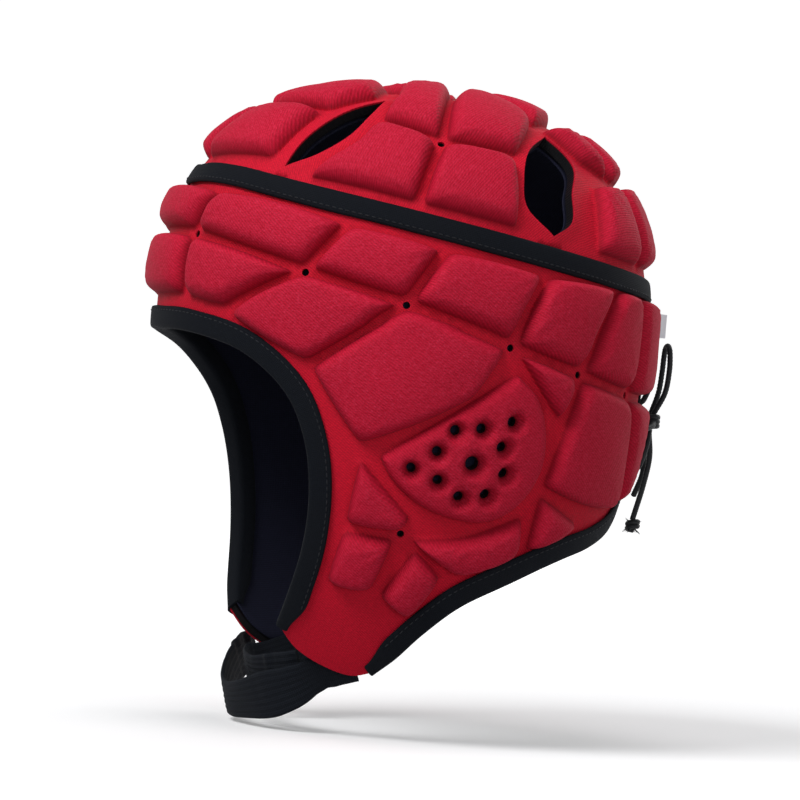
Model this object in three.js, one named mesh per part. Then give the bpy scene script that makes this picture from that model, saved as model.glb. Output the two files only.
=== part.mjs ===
// Soft padded headguard: a moulded crown panel and a moulded wrap panel, both lined, joined and
// edged with woven tape, with a two-layer chin strap, a rear lace tied in a bow and a folded label.
// Millimetres, +Z up, the wearer faces -Y. The origin is the inside top of the crown.
import * as THREE from 'three';
import { mergeVertices } from 'three/addons/utils/BufferGeometryUtils.js';

// Head form: the inner face of the lining
const headHalfWidth = 84.5;
const headHalfDepth = 103.5;
const crownRise = 97.5; // from the widest level up to the inside top
const jawDrop = 180.5; // half height of the ellipse below the widest level
const crownSquareness = 2.5; // superellipse power above the widest level

// Layers, as lifts off the head form
const liningTop = 0.7;
const panelBase = 1.8;
const webTop = 5.2; // the flat web in the grooves between the pads
const padShoulder = 10.6;
const padCrown = 12.2;

// Pads
const grooveHalf = 2; // from a groove's middle to the foot of a pad
const shoulderInset = 5.6; // from a groove's middle to a pad's shoulder
const cornerCut = 6; // length taken off each corner of a pad
const longEdge = 34; // a pad's edge longer than this gets a middle point
const largePad = 33; // a pad reaching further than this from its middle gets a ring on its top

// Openings
const ventHoleRadius = 1.6; // small holes where grooves meet
const earHoleRadius = 1.7;
const earMiddleRadius = 2.8;
const eyeletRadius = 2.6;

// Tapes, as an L-shaped section over an edge
const tapeWidth = 8;
const tapeProud = 1.5; // how far the fold stands out past the edge
const tapeClear = 0.4;
const tapeLeg = 6; // underside of the leg that lies on the web
const tapeTop = 7.5;
const tapeFoot = -0.5;
const gapTapeWidth = 6; // narrower along the rear gap
const edgeStep = 14;
const crownEdgeShift = 1.45; // degrees from the band's line up to the crown's edge

// Chin strap
const strapThick = 2.4;
const strapStep = 9;

// Lace and label
const laceRadius = 1.25;
const laceSides = 8;
const labelWall = 0.6;
const labelReach = 11;
const labelDrop = 10.5;
const labelFold = 1.1; // half the gap inside the label's fold

// Edge of the wrap panel on the wearer's left, front centre to chin, as angles on the form
const bandLine = [
  { azimuth: 0, polar: 57.8 },
  { azimuth: 24, polar: 58.2 },
  { azimuth: 43, polar: 61.3 },
  { azimuth: 60, polar: 64.4 },
  { azimuth: 80, polar: 68 },
  { azimuth: 100, polar: 71.5 },
  { azimuth: 120, polar: 74.5 },
  { azimuth: 140, polar: 76.7 },
  { azimuth: 160, polar: 78.1 },
  { azimuth: 168, polar: 78.8 },
];
const rearLine = [
  { azimuth: 172.2, polar: 80.5 },
  { azimuth: 175.4, polar: 84.2 },
  { azimuth: 176.3, polar: 90 },
  { azimuth: 176.2, polar: 97 },
  { azimuth: 175, polar: 103.5 },
];
const napeLine = [
  { azimuth: 171.6, polar: 107.6 },
  { azimuth: 167, polar: 111 },
  { azimuth: 158, polar: 114.5 },
  { azimuth: 144, polar: 117.4 },
  { azimuth: 131, polar: 119.4 },
  { azimuth: 118, polar: 122.4 },
  { azimuth: 101, polar: 127.6 },
  { azimuth: 91, polar: 133 },
  { azimuth: 82, polar: 139.2 },
  { azimuth: 76, polar: 142.6 },
];
const tabLine = [
  { azimuth: 69, polar: 143.6 },
  { azimuth: 58, polar: 142 },
  { azimuth: 48, polar: 138.5 },
];
const faceLine = [
  { azimuth: 44, polar: 134.5 },
  { azimuth: 51, polar: 128 },
  { azimuth: 56, polar: 121 },
  { azimuth: 58, polar: 115 },
  { azimuth: 58, polar: 109.5 },
  { azimuth: 56.5, polar: 105 },
  { azimuth: 53, polar: 100.5 },
  { azimuth: 47, polar: 97 },
  { azimuth: 37, polar: 94 },
  { azimuth: 20, polar: 92.3 },
  { azimuth: 0, polar: 92 },
];
const slitLine = [
  { azimuth: 173.6, polar: 73.4 },
  { azimuth: 174, polar: 59 },
  { azimuth: 176, polar: 44 },
  { azimuth: 180, polar: 31 },
];

// Where grooves meet, on the wearer's left; a middle one lies on the centre line
const junctions = {
  band1: { azimuth: 23.5, polar: 64.8 },
  band2: { azimuth: 63, polar: 71.3 },
  band3: { azimuth: 85.8, polar: 75.4 },
  band4: { azimuth: 110.5, polar: 79 },
  band5: { azimuth: 134.5, polar: 80.2 },
  band6: { azimuth: 146.5, polar: 81.2 },
  band7: { azimuth: 168.8, polar: 83 },
  hole1: { azimuth: 17.5, polar: 76 },
  hole2: { azimuth: 53.5, polar: 82.8 },
  hole3: { azimuth: 77.4, polar: 87.2 },
  hole4: { azimuth: 102.3, polar: 91.5 },
  hole5: { azimuth: 122.3, polar: 94.2 },
  hole6: { azimuth: 144.6, polar: 96.3 },
  hole7: { azimuth: 80.8, polar: 117.8 },
  brow1: { azimuth: 17.5, polar: 88.8 },
  brow2: { azimuth: 33, polar: 90.2 },
  cheek1: { azimuth: 56, polar: 96 },
  cheek2: { azimuth: 69, polar: 106.2 },
  cheek3: { azimuth: 65.5, polar: 117 },
  cheek4: { azimuth: 60.2, polar: 126.2 },
  earFront: { azimuth: 95, polar: 98.8 },
  earLow: { azimuth: 84.4, polar: 115.2 },
  earFoot: { azimuth: 97, polar: 116.8 },
  earRear: { azimuth: 118, polar: 101.5 },
  gap1: { azimuth: 168.2, polar: 96.5 },
  gap2: { azimuth: 167.2, polar: 103.5 },
  nape1: { azimuth: 164, polar: 108.8 },
  nape2: { azimuth: 152, polar: 112.4 },
  nape3: { azimuth: 135.5, polar: 114.2 },
  nape4: { azimuth: 114.8, polar: 119.8 },
  nape5: { azimuth: 97, polar: 124 },
  rear1: { azimuth: 115, polar: 109.7 },
  rear2: { azimuth: 113, polar: 112.8 },
  tab1: { azimuth: 75, polar: 127.5 },
  tab2: { azimuth: 84.5, polar: 118.6 },
  tab3: { azimuth: 94.5, polar: 123.6 },
  tab4: { azimuth: 86, polar: 132 },
  frontEdge: { azimuth: 0, polar: 55.8 },
  frontHole: { azimuth: 0, polar: 33.5 },
  topFront: { azimuth: 0, polar: 3.5 },
  topHole: { azimuth: 180, polar: 5 },
  slitTop: { azimuth: 180, polar: 28.5 },
  vent1: { azimuth: 41, polar: 33 },
  vent2: { azimuth: 36.5, polar: 55.4 },
  vent3: { azimuth: 56, polar: 21.5 },
  vent4: { azimuth: 63, polar: 22.5 },
  vent5: { azimuth: 62.8, polar: 37 },
  vent6: { azimuth: 58.4, polar: 47.4 },
  crownEdge1: { azimuth: 47, polar: 60.8 },
  crownEdge2: { azimuth: 78, polar: 66 },
  crownEdge3: { azimuth: 103.5, polar: 70.4 },
  crownEdge4: { azimuth: 126.5, polar: 73.8 },
  crownEdge5: { azimuth: 148, polar: 76 },
  crownEdge6: { azimuth: 170.6, polar: 75.8 },
  sideHole: { azimuth: 84, polar: 44 },
  rearVent1: { azimuth: 107.2, polar: 47.4 },
  rearVent2: { azimuth: 127, polar: 31.5 },
  rearVent3: { azimuth: 134.5, polar: 46 },
  rearVent4: { azimuth: 133.5, polar: 53 },
  rearTop: { azimuth: 150, polar: 32 },
  rearHole: { azimuth: 149.5, polar: 52.5 },
  slit1: { azimuth: 176.2, polar: 35 },
  slit2: { azimuth: 172.6, polar: 52.5 },
};

// Pads by the junctions round them; a right_ corner is the mirror of the named one
const wrapMiddlePads = [
  ['band1', 'right_band1', 'right_hole1', 'hole1'],
  ['hole1', 'right_hole1', 'right_brow1', 'brow1'],
];
const wrapSidePads = [
  ['band2', 'band1', 'hole1', 'hole2'],
  ['band3', 'band2', 'hole2', 'hole3'],
  ['band4', 'band3', 'hole3', 'hole4'],
  ['band5', 'band4', 'hole4', 'hole5'],
  ['band6', 'band5', 'hole5', 'hole6'],
  ['band7', 'band6', 'hole6', 'gap1'],
  ['hole2', 'hole1', 'brow1', 'brow2'],
  ['hole3', 'hole2', 'brow2', 'cheek1'],
  ['hole4', 'hole3', 'cheek1', 'cheek2', 'earFront'],
  ['hole5', 'hole4', 'earRear'],
  ['hole6', 'hole5', 'rear1', 'nape2'],
  ['gap1', 'hole6', 'nape2', 'nape1', 'gap2'],
  ['nape3', 'rear1', 'nape4'],
  ['rear2', 'earFoot', 'hole7', 'nape5', 'nape4'],
  ['earLow', 'cheek2', 'cheek3', 'hole7'],
  ['hole7', 'cheek3', 'cheek4', 'tab1'],
  ['tab3', 'tab2', 'tab1', 'tab4'],
];
const crownSidePads = [
  ['frontHole', 'frontEdge', 'vent2', 'vent1'],
  ['topFront', 'frontHole', 'vent1', 'vent3'],
  ['topHole', 'topFront', 'vent4', 'vent5', 'sideHole'],
  ['slitTop', 'topHole', 'sideHole', 'rearVent1', 'rearVent2'],
  ['sideHole', 'vent5', 'vent6', 'crownEdge1', 'crownEdge2'],
  ['rearVent1', 'sideHole', 'crownEdge2', 'crownEdge3'],
  ['rearTop', 'rearVent2', 'rearVent3', 'rearHole'],
  ['slit1', 'rearTop', 'rearHole', 'slit2'],
  ['rearHole', 'rearVent4', 'crownEdge4', 'crownEdge5'],
  ['slit2', 'rearHole', 'crownEdge5', 'crownEdge6'],
];

// Ear pad: a straight upper front edge and a round rear, with its ring of sound holes
const earOutline = [
  { azimuth: 104, polar: 94.6 },
  { azimuth: 74, polar: 106.8 },
  { azimuth: 76.5, polar: 109.5 },
  { azimuth: 83, polar: 112.8 },
  { azimuth: 92, polar: 114.8 },
  { azimuth: 102, polar: 115 },
  { azimuth: 110, polar: 112.2 },
  { azimuth: 114.5, polar: 107 },
  { azimuth: 114, polar: 101.8 },
  { azimuth: 110.5, polar: 97.6 },
];
const earMiddle = { azimuth: 96, polar: 107 };
const earHoles = [
  { back: 16.2, up: 18.3 },
  { back: 2.2, up: 14.8 },
  { back: -9.2, up: 13 },
  { back: -16, up: 3.3 },
  { back: -26.3, up: -5.7 },
  { back: -14, up: -8.7 },
  { back: -3.7, up: -14.7 },
  { back: 8, up: -13 },
  { back: 15.1, up: -3.7 },
  { back: 12.5, up: 7.6 },
];

// Leaf-shaped vents of the crown
const frontVent = [
  { azimuth: 60, polar: 23.5 },
  { azimuth: 51, polar: 30 },
  { azimuth: 45.5, polar: 38.5 },
  { azimuth: 42, polar: 48.5 },
  { azimuth: 41, polar: 57 },
  { azimuth: 49.5, polar: 52 },
  { azimuth: 56, polar: 44.5 },
  { azimuth: 59, polar: 34 },
];
const rearVent = [
  { azimuth: 128, polar: 35.5 },
  { azimuth: 112.8, polar: 44 },
  { azimuth: 107.2, polar: 54 },
  { azimuth: 106.2, polar: 63 },
  { azimuth: 113, polar: 70 },
  { azimuth: 120, polar: 65.5 },
  { azimuth: 123, polar: 57 },
  { azimuth: 130, polar: 47 },
];
const eyelets = [
  { azimuth: 170.5, polar: 88 },
  { azimuth: 170.5, polar: 94.2 },
  { azimuth: 169.4, polar: 101 },
];

// Chin strap layers: the middle of the band, its height and the outward lean of
// its upper edge, from the tab it is sewn to
const outerStrap = [
  { x: 43.8, y: -21, z: -242.5, height: 17, lean: 27 },
  { x: 38.6, y: -35, z: -247.5, height: 17, lean: 24 },
  { x: 36, y: -44, z: -253.5, height: 19, lean: 20 },
  { x: 28, y: -53, z: -258.5, height: 21, lean: 18 },
  { x: 8, y: -60.5, z: -263, height: 17, lean: 16 },
  { x: -14, y: -61.5, z: -264, height: 16, lean: 16 },
  { x: -36, y: -55, z: -257.5, height: 20, lean: 16 },
  { x: -56, y: -46, z: -248, height: 19, lean: 10 },
  { x: -69, y: -38, z: -240.5, height: 9, lean: 4 },
];
const innerStrap = [
  { x: -43.8, y: -21, z: -242.5, height: 17, lean: 27 },
  { x: -38.6, y: -34, z: -247, height: 17, lean: 24 },
  { x: -35, y: -42, z: -249.5, height: 18, lean: 20 },
  { x: -27, y: -48.5, z: -249.5, height: 18, lean: 16 },
  { x: -12, y: -54, z: -249.5, height: 14, lean: 14 },
  { x: 5, y: -54.5, z: -251, height: 15, lean: 14 },
  { x: 20, y: -49.5, z: -250, height: 18, lean: 16 },
  { x: 32, y: -41, z: -247, height: 18, lean: 18 },
];

// Lace on the wearer's left: places by distance from the centre line, lift and height
const laceRun = [
  { x: 0, lift: -6, z: -88.6 },
  { x: 8, lift: -5.5, z: -89 },
  { x: 13.6, lift: -4.4, z: -90.4 },
  { x: 14.6, lift: 2.5, z: -90.8 },
  { x: 14.9, lift: 9.8, z: -91.2 },
  { x: 8, lift: 10.4, z: -93.5 },
  { x: 3, lift: 9.8, z: -96 },
  { x: 0.6, lift: 4, z: -98 },
  { x: -1.6, lift: -3, z: -100.5 },
  { x: -8.5, lift: -6, z: -107 },
  { x: -13.6, lift: -3.6, z: -110.2 },
  { x: -14.6, lift: 2.5, z: -110.9 },
  { x: -14.9, lift: 9.8, z: -111.5 },
  { x: -8, lift: 10.4, z: -114.4 },
  { x: -3, lift: 9.8, z: -117 },
  { x: -0.6, lift: 4, z: -119 },
  { x: 1.6, lift: -3, z: -121.5 },
  { x: 8.5, lift: -6.5, z: -128.4 },
  { x: 14.8, lift: -4, z: -131.6 },
  { x: 15.8, lift: 2.5, z: -132.4 },
  { x: 16, lift: 9.6, z: -132.3 },
  { x: 10.8, lift: 15, z: -130.4 },
  { x: 6.7, lift: 16.8, z: -129 },
];
const laceCrossing = 3.2; // the second strand crosses the gap this much lower
const laceSteps = 52;
const knotPlace = { x: 0, lift: 16.8, z: -128.8 };
const knotReach = 6.4;
const knotHeight = 4.4;
const bowLoop = [
  { x: 2.6, lift: 17.3, z: -124.1 },
  { x: 7.4, lift: 19.6, z: -115 },
  { x: 10.2, lift: 19.8, z: -104.5 },
  { x: 9, lift: 19.4, z: -97 },
  { x: 5, lift: 19.2, z: -94 },
  { x: 1, lift: 19.4, z: -97.4 },
  { x: -1.2, lift: 19.8, z: -105.5 },
  { x: -1.6, lift: 19.4, z: -115 },
  { x: -1.4, lift: 17.3, z: -124.1 },
];
const lowerLoop = [
  { x: 3.9, lift: 16.2, z: -133 },
  { x: 6.4, lift: 15.6, z: -140 },
  { x: 4.6, lift: 14.8, z: -147 },
  { x: 0.4, lift: 14.4, z: -149.6 },
  { x: -3, lift: 14.6, z: -146 },
  { x: -3.4, lift: 14.8, z: -139.5 },
  { x: -1.2, lift: 14, z: -133.8 },
];
const bowSteps = 16;
const longTail = [
  { x: 0.4, lift: 17.4, z: -133.6 },
  { x: 0.8, lift: 19.8, z: -144 },
  { x: 0.2, lift: 20.4, z: -157 },
  { x: -0.2, lift: 20.4, z: -171.5 },
];
const shortTail = [
  { x: -3.9, lift: 17.2, z: -133.1 },
  { x: -7, lift: 20, z: -142 },
  { x: -6.8, lift: 21.4, z: -152 },
  { x: -9.6, lift: 21.4, z: -162.5 },
];
const tailSteps = 8;
const endKnotRadius = 3.4;
const labelPlace = { azimuth: 174.6, polar: 86, lift: 7.05 };
const labelTurn = 62; // degrees from lying across the gap to standing straight out

const colours = {
  redFabric: { color: 0xb8182f, roughness: 0.75, metalness: 0 },
  blackTape: { color: 0x15171c, roughness: 0.85, metalness: 0 },
  navyLining: { color: 0x10111c, roughness: 0.9, metalness: 0 },
  blackCord: { color: 0x0e0f12, roughness: 0.7, metalness: 0 },
  whiteSatin: { color: 0xdfe0ec, roughness: 0.4, metalness: 0 },
};

// Angles on the form: azimuth from the front towards the wearer's left, polar from the top
function toward({ azimuth, polar }, side = 1) {
  const turn = THREE.MathUtils.degToRad(azimuth * side);
  const down = THREE.MathUtils.degToRad(polar);
  const ring = Math.sin(down);
  return new THREE.Vector3(ring * Math.sin(turn), -ring * Math.cos(turn), Math.cos(down));
}

function formPoint(direction, lift = 0) {
  const above = direction.z > 0;
  const power = above ? 2 / crownSquareness : 1;
  const ring = Math.max(Math.hypot(direction.x, direction.y), 1e-9);
  const spread = ring ** (power - 1);
  const rise = (above ? crownRise : jawDrop) + lift;
  const height = rise * Math.sign(direction.z) * Math.abs(direction.z) ** power;
  return new THREE.Vector3(
    (headHalfWidth + lift) * direction.x * spread,
    (headHalfDepth + lift) * direction.y * spread,
    height - crownRise,
  );
}

function directionOf(point) {
  const x = point.x / headHalfWidth;
  const y = point.y / headHalfDepth;
  const level = point.z + crownRise;
  const power = level > 0 ? crownSquareness / 2 : 1;
  const z = level / (level > 0 ? crownRise : jawDrop);
  const spread = Math.max(Math.hypot(x, y), 1e-9) ** (power - 1);
  return new THREE.Vector3(x * spread, y * spread, Math.sign(z) * Math.abs(z) ** power).normalize();
}

// Point behind the head at a distance from the centre line, a lift off the form and a height
function rearPoint({ x, lift, z }) {
  const level = z + crownRise;
  const power = level > 0 ? crownSquareness : 2;
  const share = Math.abs(level) / (level > 0 ? crownRise : jawDrop);
  const ring = (1 - share ** power) ** (1 / power);
  const across = x / (headHalfWidth * ring);
  return new THREE.Vector3(x, headHalfDepth * ring * Math.sqrt(1 - across * across) + lift, z);
}

// Even steps along a smooth line through points of the form
function surfaceSteps(rows, step) {
  const curve = new THREE.CatmullRomCurve3(rows.map((direction) => formPoint(direction)));
  const count = Math.round(curve.getLength() / step);
  return curve.getSpacedPoints(count).map(directionOf);
}

function leftRows(...tables) {
  return tables.flat().map((row) => toward(row));
}

function mirrorRows(rows) {
  return rows.map((row) => new THREE.Vector3(-row.x, row.y, row.z)).reverse();
}

// Chart of the wrap as angles, and of the crown as seen from above, both as seen from outside
function wrapChart(direction) {
  return new THREE.Vector2(Math.atan2(direction.x, -direction.y), -Math.acos(direction.z));
}

function crownChart(direction) {
  const reach = Math.acos(direction.z) / Math.max(Math.hypot(direction.x, direction.y), 1e-9);
  return new THREE.Vector2(direction.x * reach, direction.y * reach);
}

function anticlockwise(loop, chart) {
  return THREE.ShapeUtils.area(loop.map(chart)) < 0 ? [...loop].reverse() : loop;
}

// Mesh under construction: points by direction and lift, and faces seen from outside
class Skin {
  constructor() {
    this.positions = [];
    this.triangles = [];
  }

  ring(loop, lift) {
    const first = this.positions.length;
    this.positions.push(...loop.map((direction) => formPoint(direction, lift)));
    return loop.map((_, index) => first + index);
  }

  // Faces between two rings, the first one outside the second on a face that looks outwards
  join(outer, inner, reversed = false) {
    outer.forEach((here, index) => {
      const next = (index + 1) % outer.length;
      this.face(here, outer[next], inner[next], reversed);
      this.face(here, inner[next], inner[index], reversed);
    });
  }

  // Face filling a ring from a middle point
  fan(ring, middle, lift, reversed = false) {
    const [tip] = this.ring([middle], lift);
    ring.forEach((here, index) => this.face(tip, here, ring[(index + 1) % ring.length], reversed));
  }

  // Flat filling between an outline and the loops inside it
  fill(loops, rings, chart, reversed = false) {
    const flat = loops.map((loop) => loop.map(chart));
    const all = flat.flat();
    const indices = rings.flat();
    const faces = THREE.ShapeUtils.triangulateShape(flat[0], flat.slice(1));
    const turned = ([a, b, c]) => THREE.ShapeUtils.area([all[a], all[b], all[c]]) < 0;
    const outward = faces.map((face) => (turned(face) ? [face[0], face[2], face[1]] : face));
    const points = indices.map((index) => this.positions[index]);
    for (const [a, b, c] of evenOut(outward, all, points)) {
      this.face(indices[a], indices[b], indices[c], reversed);
    }
  }

  face(a, b, c, reversed) {
    this.triangles.push(reversed ? [a, c, b] : [a, b, c]);
  }

  geometry() {
    const geometry = new THREE.BufferGeometry();
    const numbers = this.positions.flatMap((point) => point.toArray());
    geometry.setAttribute('position', new THREE.Float32BufferAttribute(numbers, 3));
    geometry.setIndex(this.triangles.flat());
    return geometry;
  }
}

// Shared edges turned across wherever that makes the two faces less slender
function evenOut(faces, flat, points) {
  const side = (from, to) => points[to].clone().sub(points[from]);
  const angle = (tip, left, right) => side(tip, left).angleTo(side(tip, right));
  const area = (a, b, c) => THREE.ShapeUtils.area([flat[a], flat[b], flat[c]]);
  for (let round = 0; round < 40; round += 1) {
    const owners = new Map();
    faces.forEach(([a, b, c], index) => {
      owners.set(`${a},${b}`, [index, c]);
      owners.set(`${b},${c}`, [index, a]);
      owners.set(`${c},${a}`, [index, b]);
    });
    const touched = new Set();
    for (const [key, [first, tip]] of owners) {
      const [a, b] = key.split(',').map(Number);
      const other = owners.get(`${b},${a}`);
      if (!other || touched.has(first) || touched.has(other[0])) continue;
      const [second, far] = other;
      const slender = angle(tip, a, b) + angle(far, a, b) > Math.PI + 1e-6;
      if (!slender || area(tip, a, far) < 1e-9 || area(far, b, tip) < 1e-9) continue;
      faces[first] = [tip, a, far];
      faces[second] = [far, b, tip];
      touched.add(first).add(second);
    }
    if (!touched.size) break;
  }
  return faces;
}

// Flat working plane about a middle direction, in millimetres
function planeAt(middle) {
  const east = new THREE.Vector3(-middle.y, middle.x, 0).normalize();
  const north = new THREE.Vector3().crossVectors(middle, east);
  const nudge = 0.01;
  const spanOf = (axis) => {
    const ahead = formPoint(middle.clone().addScaledVector(axis, nudge).normalize(), webTop);
    const behind = formPoint(middle.clone().addScaledVector(axis, -nudge).normalize(), webTop);
    return ahead.distanceTo(behind) / (2 * nudge);
  };
  const eastSpan = spanOf(east);
  const northSpan = spanOf(north);
  const flatten = (direction) => {
    const depth = direction.dot(middle);
    const across = (eastSpan * direction.dot(east)) / depth;
    const up = (northSpan * direction.dot(north)) / depth;
    return new THREE.Vector2(across, up);
  };
  const raise = (point) => middle.clone()
    .addScaledVector(east, point.x / eastSpan)
    .addScaledVector(north, point.y / northSpan)
    .normalize();
  return { flatten, raise };
}

// Polygon moved inwards, anticlockwise corners
function insetPolygon(points, inset) {
  const count = points.length;
  return points.map((point, index) => {
    const before = points[(index + count - 1) % count];
    const after = points[(index + 1) % count];
    const into = point.clone().sub(before).normalize();
    const onward = after.clone().sub(point).normalize();
    const bisector = new THREE.Vector2(-into.y - onward.y, into.x + onward.x).normalize();
    const half = bisector.dot(new THREE.Vector2(-into.y, into.x));
    return point.clone().addScaledVector(bisector, inset / Math.max(half, 0.4));
  });
}

// Each corner cut off and each long edge given a middle point
function cutCorners(points, cut, long) {
  const total = points.length;
  return points.flatMap((point, index) => {
    const before = points[(index + total - 1) % total];
    const after = points[(index + 1) % total];
    const back = Math.min(cut / point.distanceTo(before), 0.4);
    const ahead = Math.min(cut / point.distanceTo(after), 0.4);
    const cuts = [point.clone().lerp(before, back), point.clone().lerp(after, ahead)];
    return long[index] ? [...cuts, point.clone().lerp(after, 0.5)] : cuts;
  });
}

// Foot and shoulder outlines of a pad, its middle and, on a large pad, outlines half way in,
// with a plain outline for the lining under it
function padOutlines(corners, holes = []) {
  const sum = corners.reduce((total, direction) => total.add(direction), new THREE.Vector3());
  const plane = planeAt(sum.normalize());
  let flat = corners.map(plane.flatten);
  if (THREE.ShapeUtils.area(flat) < 0) flat = flat.reverse();
  const next = (index) => flat[(index + 1) % flat.length];
  const long = flat.map((point, index) => point.distanceTo(next(index)) > longEdge);
  const smooth = holes.length > 0;
  const foot = smooth ? flat : cutCorners(insetPolygon(flat, grooveHalf), cornerCut, long);
  const inset = shoulderInset - grooveHalf;
  const shoulder = smooth ? insetPolygon(flat, inset)
    : cutCorners(insetPolygon(flat, shoulderInset), cornerCut / 2, long);
  const share = 1 / shoulder.length;
  const middle = new THREE.Vector2();
  shoulder.forEach((point) => middle.addScaledVector(point, share));
  const large = Math.max(...foot.map((point) => point.distanceTo(middle))) > largePad;
  const base = smooth ? flat : insetPolygon(flat, grooveHalf);
  const raised = (outline) => outline.map(plane.raise);
  const halfWay = (outline) => raised(outline.map((point) => point.clone().lerp(middle, 0.5)));
  const inside = (outline) => (large ? [halfWay(outline)] : []);
  const top = plane.raise(middle);
  return {
    foot: raised(foot),
    shoulder: raised(shoulder),
    middle: top,
    footInside: inside(foot),
    shoulderInside: inside(shoulder),
    holes,
    plain: { foot: raised(base), middle: top, footInside: inside(base), holes: [] },
  };
}

function roundOutline(direction, radius, sides) {
  const plane = planeAt(direction);
  return Array.from({ length: sides }, (_, side) => {
    const turn = (2 * Math.PI * side) / sides;
    return plane.raise(new THREE.Vector2(radius * Math.cos(turn), radius * Math.sin(turn)));
  });
}

// Layer between two lifts inside an outline, cut by loops, with its pads raised or left flat
function layerGeometry({ outline, pads, cuts, chart, low, high, padded }) {
  const skin = new Skin();
  const edge = anticlockwise(outline, chart);
  const gaps = cuts.map((cut) => anticlockwise(cut, chart));
  const loops = [edge, ...pads.map((pad) => pad.foot), ...gaps];
  const lowRings = loops.map((loop) => skin.ring(loop, low));
  const highRings = loops.map((loop) => skin.ring(loop, high));
  skin.fill(loops, highRings, chart);
  skin.fill(loops, lowRings, chart, true);
  skin.join(lowRings[0], highRings[0]);
  gaps.forEach((_, index) => {
    const place = 1 + pads.length + index;
    skin.join(lowRings[place], highRings[place], true);
  });
  pads.forEach((pad, index) => {
    const inside = lowRings[index + 1];
    const outside = highRings[index + 1];
    if (padded && pad.holes.length) addPiercedPad(skin, pad, inside, outside, chart, low);
    else if (padded) addPad(skin, pad, inside, outside, low);
    else {
      addFlat(skin, pad, inside, low, true);
      addFlat(skin, pad, outside, high, false);
    }
  });
  return skin.geometry();
}

function addFlat(skin, pad, ring, lift, reversed) {
  let last = ring;
  for (const loop of pad.footInside) {
    const next = skin.ring(loop, lift);
    skin.join(last, next, reversed);
    last = next;
  }
  skin.fan(last, pad.middle, lift, reversed);
}

// Moulded pad: wall from the web to the shoulder and a slightly crowned top
function addPad(skin, pad, inside, outside, low) {
  addFlat(skin, pad, inside, low, true);
  let last = skin.ring(pad.shoulder, padShoulder);
  skin.join(outside, last);
  for (const loop of pad.shoulderInside) {
    const next = skin.ring(loop, (padShoulder + 2 * padCrown) / 3);
    skin.join(last, next);
    last = next;
  }
  skin.fan(last, pad.middle, padCrown);
}

function addPiercedPad(skin, pad, inside, outside, chart, low) {
  const shoulder = skin.ring(pad.shoulder, padShoulder);
  skin.join(outside, shoulder);
  const holes = pad.holes.map((hole) => anticlockwise(hole, chart));
  const lowHoles = holes.map((hole) => skin.ring(hole, low));
  const highHoles = holes.map((hole) => skin.ring(hole, padCrown));
  skin.fill([pad.shoulder, ...holes], [shoulder, ...highHoles], chart);
  skin.fill([pad.foot, ...holes], [inside, ...lowHoles], chart, true);
  holes.forEach((_, index) => skin.join(lowHoles[index], highHoles[index], true));
}

// Pads and cuts of both panels
const bothSides = [1, -1];
const holeSides = 6;

function corner(name, side) {
  const mirrored = name.startsWith('right_');
  const row = junctions[mirrored ? name.slice('right_'.length) : name];
  return toward(row, mirrored ? -side : side);
}

function padsOf(names, sides) {
  return sides.flatMap((side) => names.map((row) => padOutlines(row.map((name) => corner(name, side)))));
}

function holesAt(rows, radius) {
  return bothSides.flatMap((side) => rows.map((row) => roundOutline(toward(row, side), radius, holeSides)));
}

function earPad(side) {
  const middle = toward(earMiddle, side);
  const plane = planeAt(middle);
  const ring = earHoles.map(({ back, up }) => plane.raise(new THREE.Vector2(back * side, up)));
  const holes = ring.map((direction) => roundOutline(direction, earHoleRadius, holeSides));
  holes.push(roundOutline(middle, earMiddleRadius, holeSides));
  return padOutlines(earOutline.map((row) => toward(row, side)), holes);
}

const wrapPads = [
  ...padsOf(wrapMiddlePads, [1]),
  ...padsOf(wrapSidePads, bothSides),
  ...bothSides.map(earPad),
];
const crownPads = padsOf(crownSidePads, bothSides);
const wrapHoles = ['hole1', 'hole2', 'hole3', 'hole4', 'hole5', 'hole6', 'hole7'];
const eyeletCuts = holesAt(eyelets, eyeletRadius);
const wrapCuts = [...eyeletCuts, ...holesAt(wrapHoles.map((name) => junctions[name]), ventHoleRadius)];
const ventOutline = (rows, side) => rows.map((row) => toward(row, side));
const ventCuts = bothSides.flatMap((side) => [frontVent, rearVent].map((rows) => ventOutline(rows, side)));
const middleHoles = [junctions.frontHole, junctions.topHole];
const crownCuts = [
  ...ventCuts,
  ...holesAt([junctions.sideHole, junctions.rearHole], ventHoleRadius),
  ...middleHoles.map((row) => roundOutline(toward(row), ventHoleRadius, holeSides)),
];

// Outlines: the taped edge runs from the front centre over the rear gap to the tab
const edgeLeft = surfaceSteps(leftRows(bandLine, rearLine, napeLine), edgeStep);
const tabLeft = leftRows(tabLine);
const faceLeft = surfaceSteps(leftRows(faceLine), edgeStep);
const wrapLeft = [...edgeLeft, ...tabLeft, ...faceLeft];
const wrapOutline = [...wrapLeft, ...mirrorRows(wrapLeft).slice(1, -1)];
const raisedBand = bandLine.map(({ azimuth, polar }) => ({ azimuth, polar: polar - crownEdgeShift }));
const crownLeft = [raisedBand, slitLine].flatMap((rows) => surfaceSteps(leftRows(rows), edgeStep));
const crownOutline = [...crownLeft, ...mirrorRows(crownLeft).slice(1, -1)];

const wrapShape = { outline: wrapOutline, pads: wrapPads, chart: wrapChart };
const crownShape = { outline: crownOutline, pads: crownPads, chart: crownChart };
const panelLayer = { low: panelBase, high: webTop, padded: true };
const liningLayer = { low: 0, high: liningTop, padded: false };
const plainPads = (pads) => ({ pads: pads.map((pad) => pad.plain) });

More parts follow.
